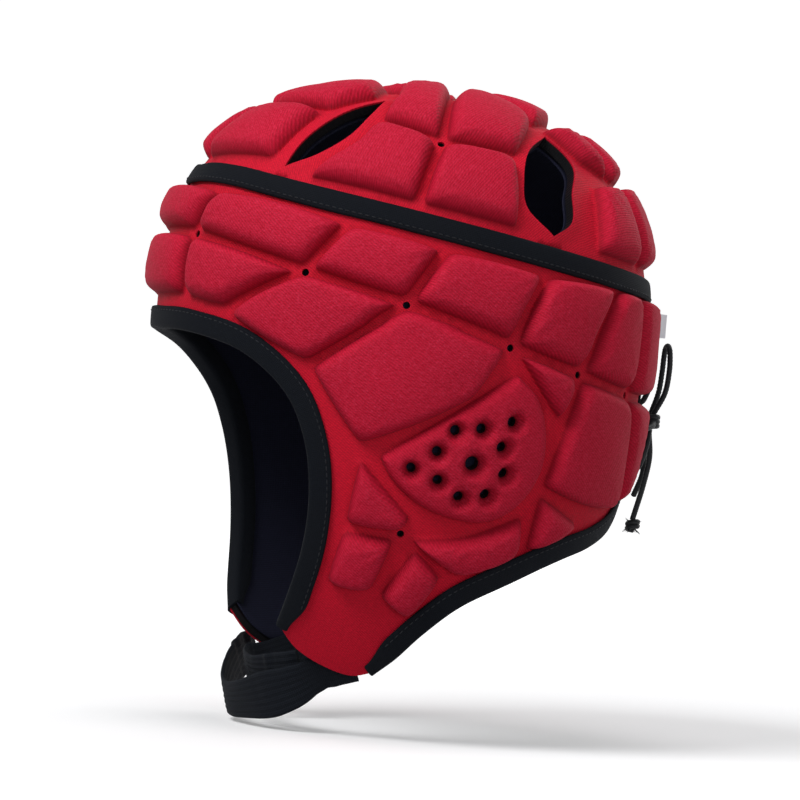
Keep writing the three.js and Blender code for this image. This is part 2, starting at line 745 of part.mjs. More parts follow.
// Closed skin over a stack of rings of points
function loftGeometry(rings) {
  const skin = new Skin();
  const placed = rings.map((ring) => {
    const first = skin.positions.length;
    skin.positions.push(...ring);
    return ring.map((_, index) => first + index);
  });
  for (let step = 1; step < placed.length; step += 1) skin.join(placed[step - 1], placed[step]);
  capRing(skin, placed[0], true);
  capRing(skin, placed.at(-1), false);
  return skin.geometry();
}

function capRing(skin, ring, reversed) {
  for (let side = 1; side < ring.length - 1; side += 1) {
    skin.face(ring[0], ring[side], ring[side + 1], reversed);
  }
}

// Tape folded over an edge; the panel lies to the left of the line seen from outside
function tapeGeometry(steps) {
  const rings = steps.map((direction, index) => {
    const ahead = formPoint(steps[Math.min(index + 1, steps.length - 1)]);
    const behind = formPoint(steps[Math.max(index - 1, 0)]);
    const along = ahead.sub(behind).normalize();
    const out = formPoint(direction, 1).sub(formPoint(direction)).normalize();
    const inward = new THREE.Vector3().crossVectors(out, along).normalize();
    const place = (reach, lift) => {
      const foot = formPoint(direction).addScaledVector(inward, reach);
      return formPoint(directionOf(foot), lift);
    };
    const aside = THREE.MathUtils.smoothstep(Math.abs(direction.x), 0.09, 0.3);
    const fromGap = direction.y > 0 ? aside : 1;
    const width = THREE.MathUtils.lerp(gapTapeWidth, tapeWidth, fromGap);
    return [
      place(-tapeProud, tapeTop),
      place(-tapeProud, tapeFoot),
      place(-tapeClear, tapeFoot),
      place(-tapeClear, tapeLeg),
      place(width, tapeLeg),
      place(width, tapeTop),
    ];
  });
  return loftGeometry(rings);
}

const edgeSteps = [...[...edgeLeft].reverse(), ...mirrorRows(edgeLeft).reverse().slice(1)];
const faceSteps = [...mirrorRows(faceLeft).reverse(), ...[...faceLeft].reverse().slice(1)];

// Strap layer: an upright band along its table's line
function strapGeometry(rows) {
  const curve = new THREE.CatmullRomCurve3(rows.map(({ x, y, z }) => new THREE.Vector3(x, y, z)));
  const count = Math.round(curve.getLength() / strapStep);
  const side = Math.sign(rows[0].x - rows.at(-1).x);
  const rings = [];
  for (let step = 0; step <= count; step += 1) {
    const share = step / count;
    const row = share * (rows.length - 1);
    const here = rows[Math.floor(row)];
    const next = rows[Math.min(Math.floor(row) + 1, rows.length - 1)];
    const mixed = (column) => THREE.MathUtils.lerp(here[column], next[column], row % 1);
    const along = curve.getTangent(share).normalize();
    const across = new THREE.Vector3(0, 0, 1).addScaledVector(along, -along.z).normalize();
    across.applyAxisAngle(along, -THREE.MathUtils.degToRad(mixed('lean')) * side);
    const out = new THREE.Vector3().crossVectors(along, across);
    const middle = curve.getPoint(share);
    const place = (up, thick) => middle.clone()
      .addScaledVector(across, (up * mixed('height')) / 2)
      .addScaledVector(out, (thick * strapThick) / 2);
    rings.push([place(-1, -1), place(0, -1), place(1, -1), place(1, 1), place(0, 1), place(-1, 1)]);
  }
  return loftGeometry(rings);
}

// Round cord along a smooth line
function cordGeometry(points, steps) {
  const section = new THREE.Shape();
  section.absarc(0, 0, laceRadius, 0, 2 * Math.PI);
  const extrudePath = new THREE.CatmullRomCurve3(points);
  const tube = new THREE.ExtrudeGeometry(section, { steps, curveSegments: laceSides / 2, extrudePath });
  return welded(tube);
}

function welded(geometry) {
  geometry.deleteAttribute('normal');
  geometry.deleteAttribute('uv');
  return mergeVertices(geometry, 1e-3);
}

// The whole lace below the bow: the right strand is the mirror of the left, lower where they cross
function laceGeometry() {
  const left = laceRun.map(rearPoint);
  const right = laceRun.slice(1).map(({ x, lift, z }) => {
    const crossing = Math.abs(x) < 8.2 && lift > -5 ? laceCrossing : 0;
    return rearPoint({ x: -x, lift, z: z - crossing });
  });
  return cordGeometry([...left.reverse(), ...right], laceSteps);
}

function ballGeometry(place, reach, height) {
  const ball = welded(new THREE.SphereGeometry(1, 8, 5));
  ball.scale(reach, height, height);
  ball.translate(place.x, place.y, place.z);
  return ball;
}

// Ribbon folded into a loop, its cut ends at the tape and its fold outwards
function labelGeometry() {
  const outline = new THREE.Shape();
  const outer = labelFold + labelWall;
  const bend = labelReach - outer;
  outline.moveTo(0, -outer);
  outline.lineTo(bend, -outer);
  outline.absarc(bend, 0, outer, -Math.PI / 2, Math.PI / 2);
  outline.lineTo(0, outer);
  outline.lineTo(0, labelFold);
  outline.lineTo(bend, labelFold);
  outline.absarc(bend, 0, labelFold, Math.PI / 2, -Math.PI / 2, true);
  outline.lineTo(0, -labelFold);
  const settings = { depth: labelDrop, bevelEnabled: false, curveSegments: 4 };
  const ribbon = welded(new THREE.ExtrudeGeometry(outline, settings));
  ribbon.rotateZ(Math.PI - THREE.MathUtils.degToRad(labelTurn));
  const foot = formPoint(toward(labelPlace), labelPlace.lift);
  ribbon.translate(foot.x, foot.y + outer, foot.z - labelDrop / 2);
  return ribbon;
}

const headguard = new THREE.Group();

function addPiece(name, geometry, colour) {
  const piece = new THREE.Mesh(geometry, new THREE.MeshStandardMaterial(colours[colour]));
  piece.name = name;
  headguard.add(piece);
}

addPiece('crown_panel', layerGeometry({ ...crownShape, ...panelLayer, cuts: crownCuts }), 'redFabric');
addPiece('wrap_panel', layerGeometry({ ...wrapShape, ...panelLayer, cuts: wrapCuts }), 'redFabric');
const crownUnder = { ...crownShape, ...plainPads(crownPads), ...liningLayer, cuts: ventCuts };
const wrapUnder = { ...wrapShape, ...plainPads(wrapPads), ...liningLayer, cuts: eyeletCuts };
addPiece('crown_lining', layerGeometry(crownUnder), 'navyLining');
addPiece('wrap_lining', layerGeometry(wrapUnder), 'navyLining');
addPiece('edge_tape', tapeGeometry(edgeSteps), 'blackTape');
addPiece('face_tape', tapeGeometry(faceSteps), 'blackTape');
addPiece('chin_strap_outer', strapGeometry(outerStrap), 'blackTape');
addPiece('chin_strap_inner', strapGeometry(innerStrap), 'blackTape');
addPiece('lace', laceGeometry(), 'blackCord');
addPiece('lace_knot', ballGeometry(rearPoint(knotPlace), knotReach, knotHeight), 'blackCord');
addPiece('lace_bow', cordGeometry(bowLoop.map(rearPoint), bowSteps), 'blackCord');
addPiece('lace_bow_lower', cordGeometry(lowerLoop.map(rearPoint), bowSteps), 'blackCord');
addPiece('lace_tail_long', cordGeometry(longTail.map(rearPoint), tailSteps), 'blackCord');
addPiece('lace_tail_short', cordGeometry(shortTail.map(rearPoint), tailSteps), 'blackCord');
const tailEnd = rearPoint(longTail.at(-1));
const endKnot = new THREE.Vector3(tailEnd.x, tailEnd.y, tailEnd.z - endKnotRadius - tapeClear);
addPiece('lace_end_knot', ballGeometry(endKnot, endKnotRadius, endKnotRadius), 'blackCord');
addPiece('label_tab', labelGeometry(), 'whiteSatin');

export default headguard;
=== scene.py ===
import math

import bpy
import numpy as np
from mathutils import Matrix, Vector
from mathutils.geometry import delaunay_2d_cdt


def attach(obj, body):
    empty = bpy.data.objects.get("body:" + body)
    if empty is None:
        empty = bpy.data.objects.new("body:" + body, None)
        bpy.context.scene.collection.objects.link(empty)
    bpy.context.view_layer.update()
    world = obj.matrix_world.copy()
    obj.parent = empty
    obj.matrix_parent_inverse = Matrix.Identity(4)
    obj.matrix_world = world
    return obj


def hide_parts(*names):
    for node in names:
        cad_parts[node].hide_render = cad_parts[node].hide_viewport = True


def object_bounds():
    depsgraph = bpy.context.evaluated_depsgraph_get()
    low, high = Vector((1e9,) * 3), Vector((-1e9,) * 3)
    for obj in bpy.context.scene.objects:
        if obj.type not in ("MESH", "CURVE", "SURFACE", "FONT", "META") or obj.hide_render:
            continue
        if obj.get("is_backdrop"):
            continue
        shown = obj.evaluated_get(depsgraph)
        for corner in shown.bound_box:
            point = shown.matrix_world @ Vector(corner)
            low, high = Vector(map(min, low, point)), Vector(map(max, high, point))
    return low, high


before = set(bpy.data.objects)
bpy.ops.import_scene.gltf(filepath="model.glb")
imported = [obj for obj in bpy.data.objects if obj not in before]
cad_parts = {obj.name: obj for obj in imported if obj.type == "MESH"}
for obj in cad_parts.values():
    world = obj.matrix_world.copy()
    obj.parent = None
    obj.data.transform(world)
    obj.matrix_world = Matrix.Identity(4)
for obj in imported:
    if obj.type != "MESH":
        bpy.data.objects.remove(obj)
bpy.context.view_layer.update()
mm = 0.001
fullTurn = 2 * math.pi
bothSides = (1, -1)

# Camera, as the side picture was taken: level, a little in front of the ear, tipped to the rear
cameraSetup = {
    "azimuth": 74,
    "tip": 4.8,
    "distance": 1.8,
    "viewWidth": 0.352,
    "aim": (0.0, 0.002, -0.128),
    "sensor": 36,
}


def placeCamera(setup):
    turn = math.radians(setup["azimuth"])
    back = Vector((math.sin(turn), -math.cos(turn), 0))
    data = bpy.data.cameras.new("photo_camera")
    data.sensor_width = setup["sensor"]
    data.lens = setup["sensor"] * setup["distance"] / setup["viewWidth"]
    camera = bpy.data.objects.new("photo_camera", data)
    bpy.context.scene.collection.objects.link(camera)
    turned = (-back).to_track_quat("-Z", "Y").to_matrix().to_4x4()
    tipped = turned @ Matrix.Rotation(math.radians(setup["tip"]), 4, "Z")
    camera.matrix_world = Matrix.Translation(Vector(setup["aim"]) + back * setup["distance"]) @ tipped
    bpy.context.scene.camera = camera


placeCamera(cameraSetup)
print("camera placed")

# Head form, in millimetres: the inside of the lining
form = {"halfWidth": 84.5, "halfDepth": 103.5, "rise": 97.5, "drop": 180.5, "square": 2.5}
tiny = 1e-9


def unit(rows):
    return rows / np.linalg.norm(rows, axis=1, keepdims=True)


def toward(azimuth, polar, side=1):
    turn = math.radians(azimuth * side)
    down = math.radians(polar)
    ring = math.sin(down)
    return np.array((ring * math.sin(turn), -ring * math.cos(turn), math.cos(down)))


def formPoints(directions, lift=0.0):
    x, y, z = np.asarray(directions, float).reshape(-1, 3).T
    above = z > 0
    power = np.where(above, 2 / form["square"], 1.0)
    spread = np.maximum(np.hypot(x, y), tiny) ** (power - 1)
    rise = np.where(above, form["rise"], form["drop"]) + lift
    height = rise * np.sign(z) * np.abs(z) ** power - form["rise"]
    across = (form["halfWidth"] + lift) * x * spread
    along = (form["halfDepth"] + lift) * y * spread
    return np.stack((across, along, height), 1)


def directionsOf(points):
    x = points[:, 0] / form["halfWidth"]
    y = points[:, 1] / form["halfDepth"]
    level = points[:, 2] + form["rise"]
    power = np.where(level > 0, form["square"] / 2, 1.0)
    z = level / np.where(level > 0, form["rise"], form["drop"])
    spread = np.maximum(np.hypot(x, y), tiny) ** (power - 1)
    found = np.stack((x * spread, y * spread, np.sign(z) * np.abs(z) ** power), 1)
    return unit(found)


# Points of the rear, from across, lift off the form and height
def rearPoints(rows):
    x, lift, z = np.asarray(rows, float).T
    level = z + form["rise"]
    power = np.where(level > 0, form["square"], 2.0)
    share = np.abs(level) / np.where(level > 0, form["rise"], form["drop"])
    ring = (1 - share ** power) ** (1 / power)
    across = x / (form["halfWidth"] * ring)
    return np.stack((x, form["halfDepth"] * ring * np.sqrt(1 - across ** 2) + lift, z), 1)


def smoothLine(points, perSpan=24):
    points = np.asarray(points, float)
    ends = np.vstack((2 * points[0] - points[1], points, 2 * points[-1] - points[-2]))
    line = [points[:1]]
    for here in range(1, len(ends) - 2):
        a, b, c, d = ends[here - 1:here + 3]
        ab, bc, cd = (max(np.linalg.norm(q - p), tiny) ** 0.5 for p, q in ((a, b), (b, c), (c, d)))
        into = ((b - a) / ab - (c - a) / (ab + bc) + (c - b) / bc) * bc
        onward = ((c - b) / bc - (d - b) / (bc + cd) + (d - c) / cd) * bc
        t = np.linspace(0, 1, perSpan + 1)[1:, None]
        line.append((2 * t ** 3 - 3 * t ** 2 + 1) * b + (t ** 3 - 2 * t ** 2 + t) * into
                    + (3 * t ** 2 - 2 * t ** 3) * c + (t ** 3 - t ** 2) * onward)
    return np.vstack(line)


def lineLengths(points):
    return np.concatenate(([0], np.cumsum(np.linalg.norm(np.diff(points, axis=0), axis=1))))


def sampled(points, run, places):
    return np.stack([np.interp(places, run, column) for column in points.T], 1)


def evenSteps(points, step):
    run = lineLengths(points)
    count = max(2, round(run[-1] / step))
    return sampled(points, run, np.linspace(0, run[-1], count + 1))


def surfaceLine(rows, step):
    line = smoothLine(formPoints([toward(*row) for row in rows]))
    return directionsOf(evenSteps(line, step))


def mirrored(directions):
    return directions * np.array((-1, 1, 1))


def eased(values, low, high):
    share = np.clip((values - low) / (high - low), 0, 1)
    return share * share * (3 - 2 * share)


# Flat charts in millimetres, as seen from outside: the wrap unrolled, the crown from above
chartRadius = 95
chartSteps = 361  # half a degree apart
polarSteps = np.linspace(0, math.pi, chartSteps)
meridian = np.stack((np.sin(polarSteps), 0 * polarSteps, np.cos(polarSteps)), 1)
meridianRun = lineLengths(formPoints(meridian))


def downRun(directions):
    return np.interp(np.arccos(np.clip(directions[:, 2], -1, 1)), polarSteps, meridianRun)


def wrapChart(directions):
    turn = np.arctan2(directions[:, 0], -directions[:, 1])
    return np.stack((turn * chartRadius, -downRun(directions)), 1)


def wrapDirections(chart):
    turn = chart[:, 0] / chartRadius
    down = np.interp(-chart[:, 1], meridianRun, polarSteps)
    return np.stack((np.sin(down) * np.sin(turn), -np.sin(down) * np.cos(turn), np.cos(down)), 1)


def crownChart(directions):
    reach = downRun(directions) / np.maximum(np.hypot(directions[:, 0], directions[:, 1]), tiny)
    return directions[:, :2] * reach[:, None]


def crownDirections(chart):
    run = np.hypot(chart[:, 0], chart[:, 1])
    down = np.interp(run, meridianRun, polarSteps)
    flat = chart * (np.sin(down) / np.maximum(run, tiny))[:, None]
    return np.column_stack((flat, np.cos(down)))


# Lace, in millimetres: across, lift off the form, height
lace = {
    "radius": 1.25, "sides": 16, "step": 0.4, "strands": 4, "twist": 6.5, "relief": 0.13,
    "reliefMiddle": 0.6, "endShare": 0.55, "crossing": 3.2, "crossingReach": 8.2, "crossingLift": -5,
    "tuck": 1.5,
}
laceRun = [
    (0, -6, -88.6), (8, -5.5, -89), (13.6, -4.4, -90.4), (14.6, 2.5, -90.8), (14.9, 9.8, -91.2),
    (8, 10.4, -93.5), (3, 9.8, -96), (0.6, 4, -98), (-1.6, -3, -100.5), (-8.5, -6, -107),
    (-13.6, -3.6, -110.2), (-14.6, 2.5, -110.9), (-14.9, 9.8, -111.5), (-8, 10.4, -114.4),
    (-3, 9.8, -117), (-0.6, 4, -119), (1.6, -3, -121.5), (8.5, -6.5, -128.4), (14.8, -4, -131.6),
    (15.8, 2.5, -132.4), (16, 9.6, -132.3), (10.8, 15, -130.4), (6.7, 16.8, -129),
]
knot = {"place": (0, 16.8, -128.8), "reach": 6.4, "height": 4.4, "spare": 0.15, "slant": 0.2, "steps": 200}
bowLoop = [
    (2.6, 17.3, -124.1), (7.4, 19.6, -115), (10, 19.8, -105), (9.8, 19.6, -99.2), (8.3, 19.4, -95.5),
    (4.7, 19.3, -94), (1.1, 19.4, -95.5), (-0.4, 19.6, -99.2), (-1.4, 19.8, -105.5), (-1.7, 19.4, -115),
    (-1.4, 17.3, -124.1),
]
lowerLoop = [
    (3.9, 16.2, -133), (6.3, 15.6, -139.3), (6.3, 15, -144.8), (4.9, 14.7, -148.3), (1.4, 14.4, -149.8),
    (-2.1, 14.5, -148.3), (-3.6, 14.7, -144.8), (-3.4, 14.8, -139.3), (-1.2, 14, -133.8),
]
longTail = [(0.4, 17.4, -133.6), (0.8, 19.8, -144), (0.2, 20.4, -157), (-0.2, 20.4, -171.5)]
shortTail = [(-3.9, 17.2, -133.1), (-7, 20, -142), (-6.8, 21.4, -152), (-9.6, 21.4, -162.5)]
endKnot = {
    "radius": 3.4, "gap": 0.4, "core": 1.3, "fibre": 4.6, "hair": 0.28, "hairSides": 6, "hairTip": 0.3,
    "thickly": 2.2, "sizeLeast": 0.6, "sizeSpread": 0.5, "seed": 4,
}
startAside = (0.3, 0.2, 0.93)  # a direction that no cord starts in


def sidesAlong(line):
    along = unit(np.gradient(line, axis=0))
    side = np.cross(along[0], startAside)
    sides = []
    for heading in along:
        side = side - heading * side.dot(heading)
        side /= np.linalg.norm(side)
        sides.append(side)
    sides = np.array(sides)
    return sides, np.cross(along, sides)


# Faces of a tube of rings with a cap at each end, and the cloth chart along and round it
def tubeFaces(count, sides, flip=False):
    index = np.arange(count * sides).reshape(count, sides)
    ahead = np.roll(index, -1, 1)
    corners = [index[:-1], ahead[:-1], ahead[1:], index[1:]]
    caps = [index[0][::-1], index[-1]]
    if flip:
        corners[1], corners[3] = corners[3], corners[1]
        caps = [cap[::-1] for cap in caps]
    return np.stack(corners, -1).reshape(-1, 4).tolist() + [cap.tolist() for cap in caps]


def clothChart(along, across):
    return np.stack(np.broadcast_arrays(along[:, None], across[None]), -1).reshape(-1, 2)


# Braided round cord: two families of strands wound both ways
def braidedTube(line):
    line = evenSteps(line, lace["step"])
    run = lineLengths(line)
    side, up = sidesAlong(line)
    turn = np.arange(lace["sides"]) * fullTurn / lace["sides"]
    wind = run[:, None] * fullTurn / lace["twist"]
    strands = lace["strands"]
    over = np.maximum(np.cos(strands * (turn + wind)), np.cos(strands * (turn - wind)))
    radius = lace["radius"] + lace["relief"] * (over - lace["reliefMiddle"])
    radius[[0, -1]] *= lace["endShare"]
    ring = side[:, None] * np.cos(turn)[None, :, None] + up[:, None] * np.sin(turn)[None, :, None]
    points = line[:, None] + ring * radius[:, :, None]
    return points.reshape(-1, 3), tubeFaces(*radius.shape), clothChart(run, turn * lace["radius"])


# Object from points in millimetres, with its cloth chart and any named fields for the shader
def makePiece(name, points, faces, material, chart=None, fields=None, sharp=75):
    mesh = bpy.data.meshes.new(name)
    mesh.from_pydata((np.asarray(points) * mm).tolist(), [], faces)
    mesh.materials.append(material)
    if chart is not None:
        layer = mesh.uv_layers.new(name="cloth")
        corners = np.empty(len(mesh.loops), np.int32)
        mesh.loops.foreach_get("vertex_index", corners)
        layer.data.foreach_set("uv", chart[corners].astype(np.float32).ravel())
    for field, values in (fields or {}).items():
        attribute = mesh.attributes.new(field, "FLOAT", "POINT")
        attribute.data.foreach_set("value", np.asarray(values, np.float32))
    mesh.shade_smooth()
    mesh.set_sharp_from_angle(angle=math.radians(sharp))
    mesh.validate()
    piece = bpy.data.objects.new(name, mesh)
    bpy.context.scene.collection.objects.link(piece)
    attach(piece, "root")
    return piece


# Piece shown in the place of a CAD node, which is hidden
def standFor(piece, node):
    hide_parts(node)
    return piece


# Number on a shader socket, with operators that add Math nodes
class Signal:
    def __init__(self, owner, socket):
        self.owner = owner
        self.socket = socket

    def join(self, operation, *values):
        return self.owner.node("ShaderNodeMath", {"operation": operation}, *values)

    def __add__(self, other):
        return self.join("ADD", self, other)

    def __radd__(self, other):
        return self.join("ADD", other, self)

    def __mul__(self, other):
        return self.join("MULTIPLY", self, other)

    def __rmul__(self, other):
        return self.join("MULTIPLY", other, self)

    def wave(self):
        return self.join("SINE", self * fullTurn) * 0.5 + 0.5

    def spread(self, low, high):
        ranged = {"interpolation_type": "SMOOTHSTEP", "clamp": True}
        return self.owner.node("ShaderNodeMapRange", ranged, self, low, high, 0.0, 1.0)

    def beside(self, output):
        return Signal(self.owner, self.socket.node.outputs[output])


# Sum of signals, each times its weight
def weighed(weights, *signals):
    parts = (signal * weight for weight, signal in zip(weights, signals))
    total = next(parts)
    for part in parts:
        total = total + part
    return total


# Node tree under construction, of either kind
class NodeWork:
    def __init__(self, tree):
        self.tree = tree

    def link(self, source, socket):
        if isinstance(source, Signal):
            self.tree.links.new(source.socket, socket)
        elif source is not None:
            socket.default_value = source

    def node(self, kind, settings, *values, output=0, **named):
        made = self.tree.nodes.new(kind)
        for setting, value in settings.items():
            setattr(made, setting, value)
        for socket, value in zip(made.inputs, values):
            self.link(value, socket)
        for socket, value in named.items():
            self.link(value, made.inputs[socket])
        return Signal(self, made.outputs[output])


fineDetail = 3.0  # octaves of the noise in patches, lint and wear


# Material under construction
class Finish(NodeWork):
    def __init__(self, name, **settings):
        self.material = bpy.data.materials.new(name)
        self.material.use_nodes = True
        super().__init__(self.material.node_tree)
        self.shader = self.tree.nodes["Principled BSDF"]
        for socket, value in settings.items():
            self.shader.inputs[socket.replace("_", " ")].default_value = value

    def cloth(self):
        uv = self.node("ShaderNodeUVMap", {"uv_map": "cloth"})
        return [self.node("ShaderNodeSeparateXYZ", {}, uv, output=axis) for axis in range(2)]

    def field(self, name):
        return self.node("ShaderNodeAttribute", {"attribute_name": name}, output="Fac")

    def noise(self, size, detail=2.0, vector=None, roughness=0.5):
        if vector is None:
            vector = self.node("ShaderNodeTexCoord", {}, output="Object")
        return self.node("ShaderNodeTexNoise", {}, Vector=vector, Scale=1 / size, Detail=detail,
                         Roughness=roughness)

    def blend(self, factor, first, second):
        unused = [None] * 5  # a Mix node's sockets for numbers and vectors
        return self.node("ShaderNodeMix", {"data_type": "RGBA"}, factor, *unused, first, second, output=2)

    def bump(self, height, strength, distance, normal=None):
        return self.node("ShaderNodeBump", {}, Strength=strength, Distance=distance, Height=height,
                         Normal=normal)

    def colour(self, signal):
        self.link(signal, self.shader.inputs["Base Color"])

    def rough(self, signal):
        self.link(signal, self.shader.inputs["Roughness"])

    def normal(self, signal):
        self.link(signal, self.shader.inputs["Normal"])


# Screen colour, 0 to 255, as linear light
def shade(red, green, blue):
    linear = [v / 12.92 if v <= 0.04045 else ((v + 0.055) / 1.055) ** 2.4
              for v in (red / 255, green / 255, blue / 255)]
    return (*linear, 1.0)


# Red knitted cloth bonded to the foam: fine slanting ribs, a softer crosswise rib, a painted pinkish sheen
# on the pad tops and painted shade in the creases
redCloth = {
    "rib": {"pitch": 0.95, "slant": 52, "drift": 1.6},
    "cross": {"pitch": 1.5, "slant": -31, "drift": 0.7}, "crossShare": 0.45, "wander": 0.012,
    "patch": 0.035, "patchRough": 0.6, "speck": 0.0009, "speckRange": (0.5, 0.76), "streakLong": 2.4,
    "streakWide": 0.75, "streakRange": (0.35, 0.68), "bodyMix": (0.5, 0.3, 0.2), "sheenMix": (0.18, 0.1),
    "webMix": (0.45, 0.25, 0.2), "webFloor": 0.2, "padTop": (0.35, 0.95), "padFoot": (0.02, 0.3),
    "rough": 0.66, "roughMix": (0.12, 0.08), "softBump": (0.12, 0.002), "weaveMix": (0.9, 0.3, 0.3),
    "weaveBump": (0.4, 0.00035), "deep": shade(148, 8, 32), "bright": shade(206, 22, 56),
    "groove": shade(218, 22, 49), "sheenHighlight": shade(226, 70, 104), "shadeRed": shade(92, 3, 18),
    "foam": shade(10, 10, 13), "sheen": shade(255, 120, 156),
}


def redFabric():
    look = redCloth
    finish = Finish("red_fabric", Sheen_Weight=0.06, Sheen_Roughness=0.35, Sheen_Tint=look["sheen"],
                    Specular_IOR_Level=0.1)
    u, v = finish.cloth()
    wander = finish.noise(look["wander"])

    def ribs(pitch, slant, drift):
        slope = math.radians(slant)
        place = u * (math.cos(slope) / pitch) + v * (math.sin(slope) / pitch)
        return (place + wander * drift).wave()

    rib, cross = ribs(**look["rib"]), ribs(**look["cross"])
    weave = rib * (1 - look["crossShare"] + cross * look["crossShare"])
    relief = finish.field("relief")
    patch = finish.noise(look["patch"], fineDetail, roughness=look["patchRough"])
    speck = finish.noise(look["speck"]).spread(*look["speckRange"])
    lengthwise, crosswise = u * (1 / look["streakLong"]), v * (1 / look["streakWide"])
    along = finish.node("ShaderNodeCombineXYZ", {}, lengthwise, crosswise, 0.0)
    streak = finish.noise(1.0, fineDetail, along, look["patchRough"]).spread(*look["streakRange"])
    body = finish.blend(weighed(look["bodyMix"], weave, patch, streak), look["deep"], look["bright"])
    padTop = relief.spread(*look["padTop"])
    # Painted sheen: a pinkish highlight mottled over the tops of the pads
    paintedSheen = finish.blend(weighed(look["sheenMix"], speck, streak) * padTop, body, look["sheenHighlight"])
    webMix = weighed(look["webMix"], weave, streak, patch) + look["webFloor"]
    web = finish.blend(webMix, look["deep"], look["groove"])
    colour = finish.blend(relief.spread(*look["padFoot"]), web, paintedSheen)
    # Painted shade: darker red at the feet of the pads, round the sound holes and along the turned-in edge
    shadedColour = finish.blend(finish.field("crease"), colour, look["shadeRed"])
    finish.colour(finish.blend(finish.field("core"), shadedColour, look["foam"]))
    finish.rough(look["rough"] + weighed(look["roughMix"], weave, patch))
    soft = finish.bump(patch, *look["softBump"])
    finish.normal(finish.bump(weighed(look["weaveMix"], weave, speck, streak), *look["weaveBump"], soft))
    return finish.material


# Dark knits of the tapes, the straps and the lining: wales, courses and a little lint
darkKnit = {
    "wander": 0.009, "drift": 0.6, "knitMix": (0.55, 0.45), "lint": 0.0016, "lintRange": (0.62, 0.8),
    "patch": 0.03, "colourMix": (0.45, 0.25, 0.3), "roughDip": 0.08, "roughSpread": 0.16,
    "lintHeight": 0.4, "depth": 0.0003,
}


def darkCloth(name, deep, pale, pitch, relief, rough):
    look = darkKnit
    finish = Finish(name, Specular_IOR_Level=0.1)
    wander = finish.noise(look["wander"])
    wales, courses = ((axis * (1 / pitch) + wander * look["drift"]).wave() for axis in finish.cloth())
    knit = weighed(look["knitMix"], wales, courses)
    lint = finish.noise(look["lint"], fineDetail).spread(*look["lintRange"])
    patch = finish.noise(look["patch"], fineDetail)
    finish.colour(finish.blend(weighed(look["colourMix"], knit, patch, lint), deep, pale))
    finish.rough(rough - look["roughDip"] + patch * look["roughSpread"])
    finish.normal(finish.bump(knit + lint * look["lintHeight"], relief, look["depth"]))
    return finish.material


# Braid of the lace: slanting strands, a little worn
cordLook = {
    "along": 0.55, "round": 0.8, "worn": 0.0015, "wornRange": (0.5, 0.8), "colourMix": (0.5, 0.4),
    "rough": 0.5, "roughSpread": 0.25, "bump": (0.3, 0.0002), "deep": shade(5, 6, 9),
    "pale": shade(30, 33, 40),
}


def cordBraid():
    look = cordLook
    finish = Finish("black_cord", Sheen_Weight=0.06, Specular_IOR_Level=0.2)
    u, v = finish.cloth()
    strand = weighed((1 / look["along"], 1 / look["round"]), u, v).wave()
    worn = finish.noise(look["worn"], fineDetail).spread(*look["wornRange"])
    finish.colour(finish.blend(weighed(look["colourMix"], strand, worn), look["deep"], look["pale"]))
    finish.rough(look["rough"] + worn * look["roughSpread"])
    finish.normal(finish.bump(strand, *look["bump"]))
    return finish.material


def thread():
    finish = Finish("black_thread", Roughness=0.7, Specular_IOR_Level=0.25)
    finish.colour(finish.blend(finish.noise(0.002), shade(6, 7, 10), shade(24, 27, 34)))
    return finish.material


# Woven ribbon of the label: a fine weft and a few slubs
satinLook = {
    "weft": 0.35, "slub": 0.004, "colourMix": (0.3, 0.5), "rough": 0.32, "roughMix": (0.1, 0.1),
    "bump": (0.15, 0.0001), "deep": shade(232, 233, 244), "pale": shade(252, 252, 255),
}


def whiteSatin():
    look = satinLook
    finish = Finish("white_satin", Sheen_Weight=0.15)
    weft = (finish.cloth()[1] * (1 / look["weft"])).wave()
    slub = finish.noise(look["slub"], fineDetail)
    finish.colour(finish.blend(weighed(look["colourMix"], weft, slub), look["deep"], look["pale"]))
    finish.rough(look["rough"] + weighed(look["roughMix"], weft, slub))
    finish.normal(finish.bump(weft, *look["bump"]))
    return finish.material


# Dark cloths: deep and pale colour, pitch of the knit, its relief and its roughness
finishes = {
    "red": redFabric(),
    "tape": darkCloth("black_tape", shade(4, 5, 9), shade(20, 25, 33), 0.7, 0.4, 0.85),
    "elastic": darkCloth("black_elastic", shade(6, 7, 10), shade(32, 37, 46), 0.85, 0.5, 0.82),
    "lining": darkCloth("navy_lining", shade(16, 17, 28), shade(40, 42, 64), 0.9, 0.3, 0.88),
    "cord": cordBraid(),
    "thread": thread(),
    "satin": whiteSatin(),
}
print("finishes mixed")

# Free cords first: the two loops of the bow and the two tails below it
cordLines = {
    "lace_bow": smoothLine(rearPoints(bowLoop)),
    "lace_bow_lower": smoothLine(rearPoints(lowerLoop)),
    "lace_tail_long": smoothLine(rearPoints(longTail)),
    "lace_tail_short": smoothLine(rearPoints(shortTail)),
}


# Ends run on a little, into the knot they come from
def tucked(line, far):
    def onward(end, before):
        return end + (end - before) / np.linalg.norm(end - before) * lace["tuck"]

    ends = [onward(line[0], line[1]), *line]
    if far:
        ends.append(onward(line[-1], line[-2]))
    return np.vstack(ends)


def dressCord(node, line):
    points, faces, chart = braidedTube(line)
    return standFor(makePiece(node + "_braid", points, faces, finishes["cord"], chart), node)


# Turns wrapped close about an upright middle, filling the room of the CAD knot
def knotLine(place, reach, height):
    room = np.array((reach, height, height)) - lace["radius"]
    turns = room[2] / lace["radius"] + knot["spare"]
    turn = np.linspace(0, fullTurn * turns, knot["steps"])
    rise = np.linspace(1, -1, len(turn)) * (1 - knot["slant"]) + knot["slant"] * np.sin(turn)
    return place + np.stack((np.sin(turn), np.cos(turn), rise), 1) * room


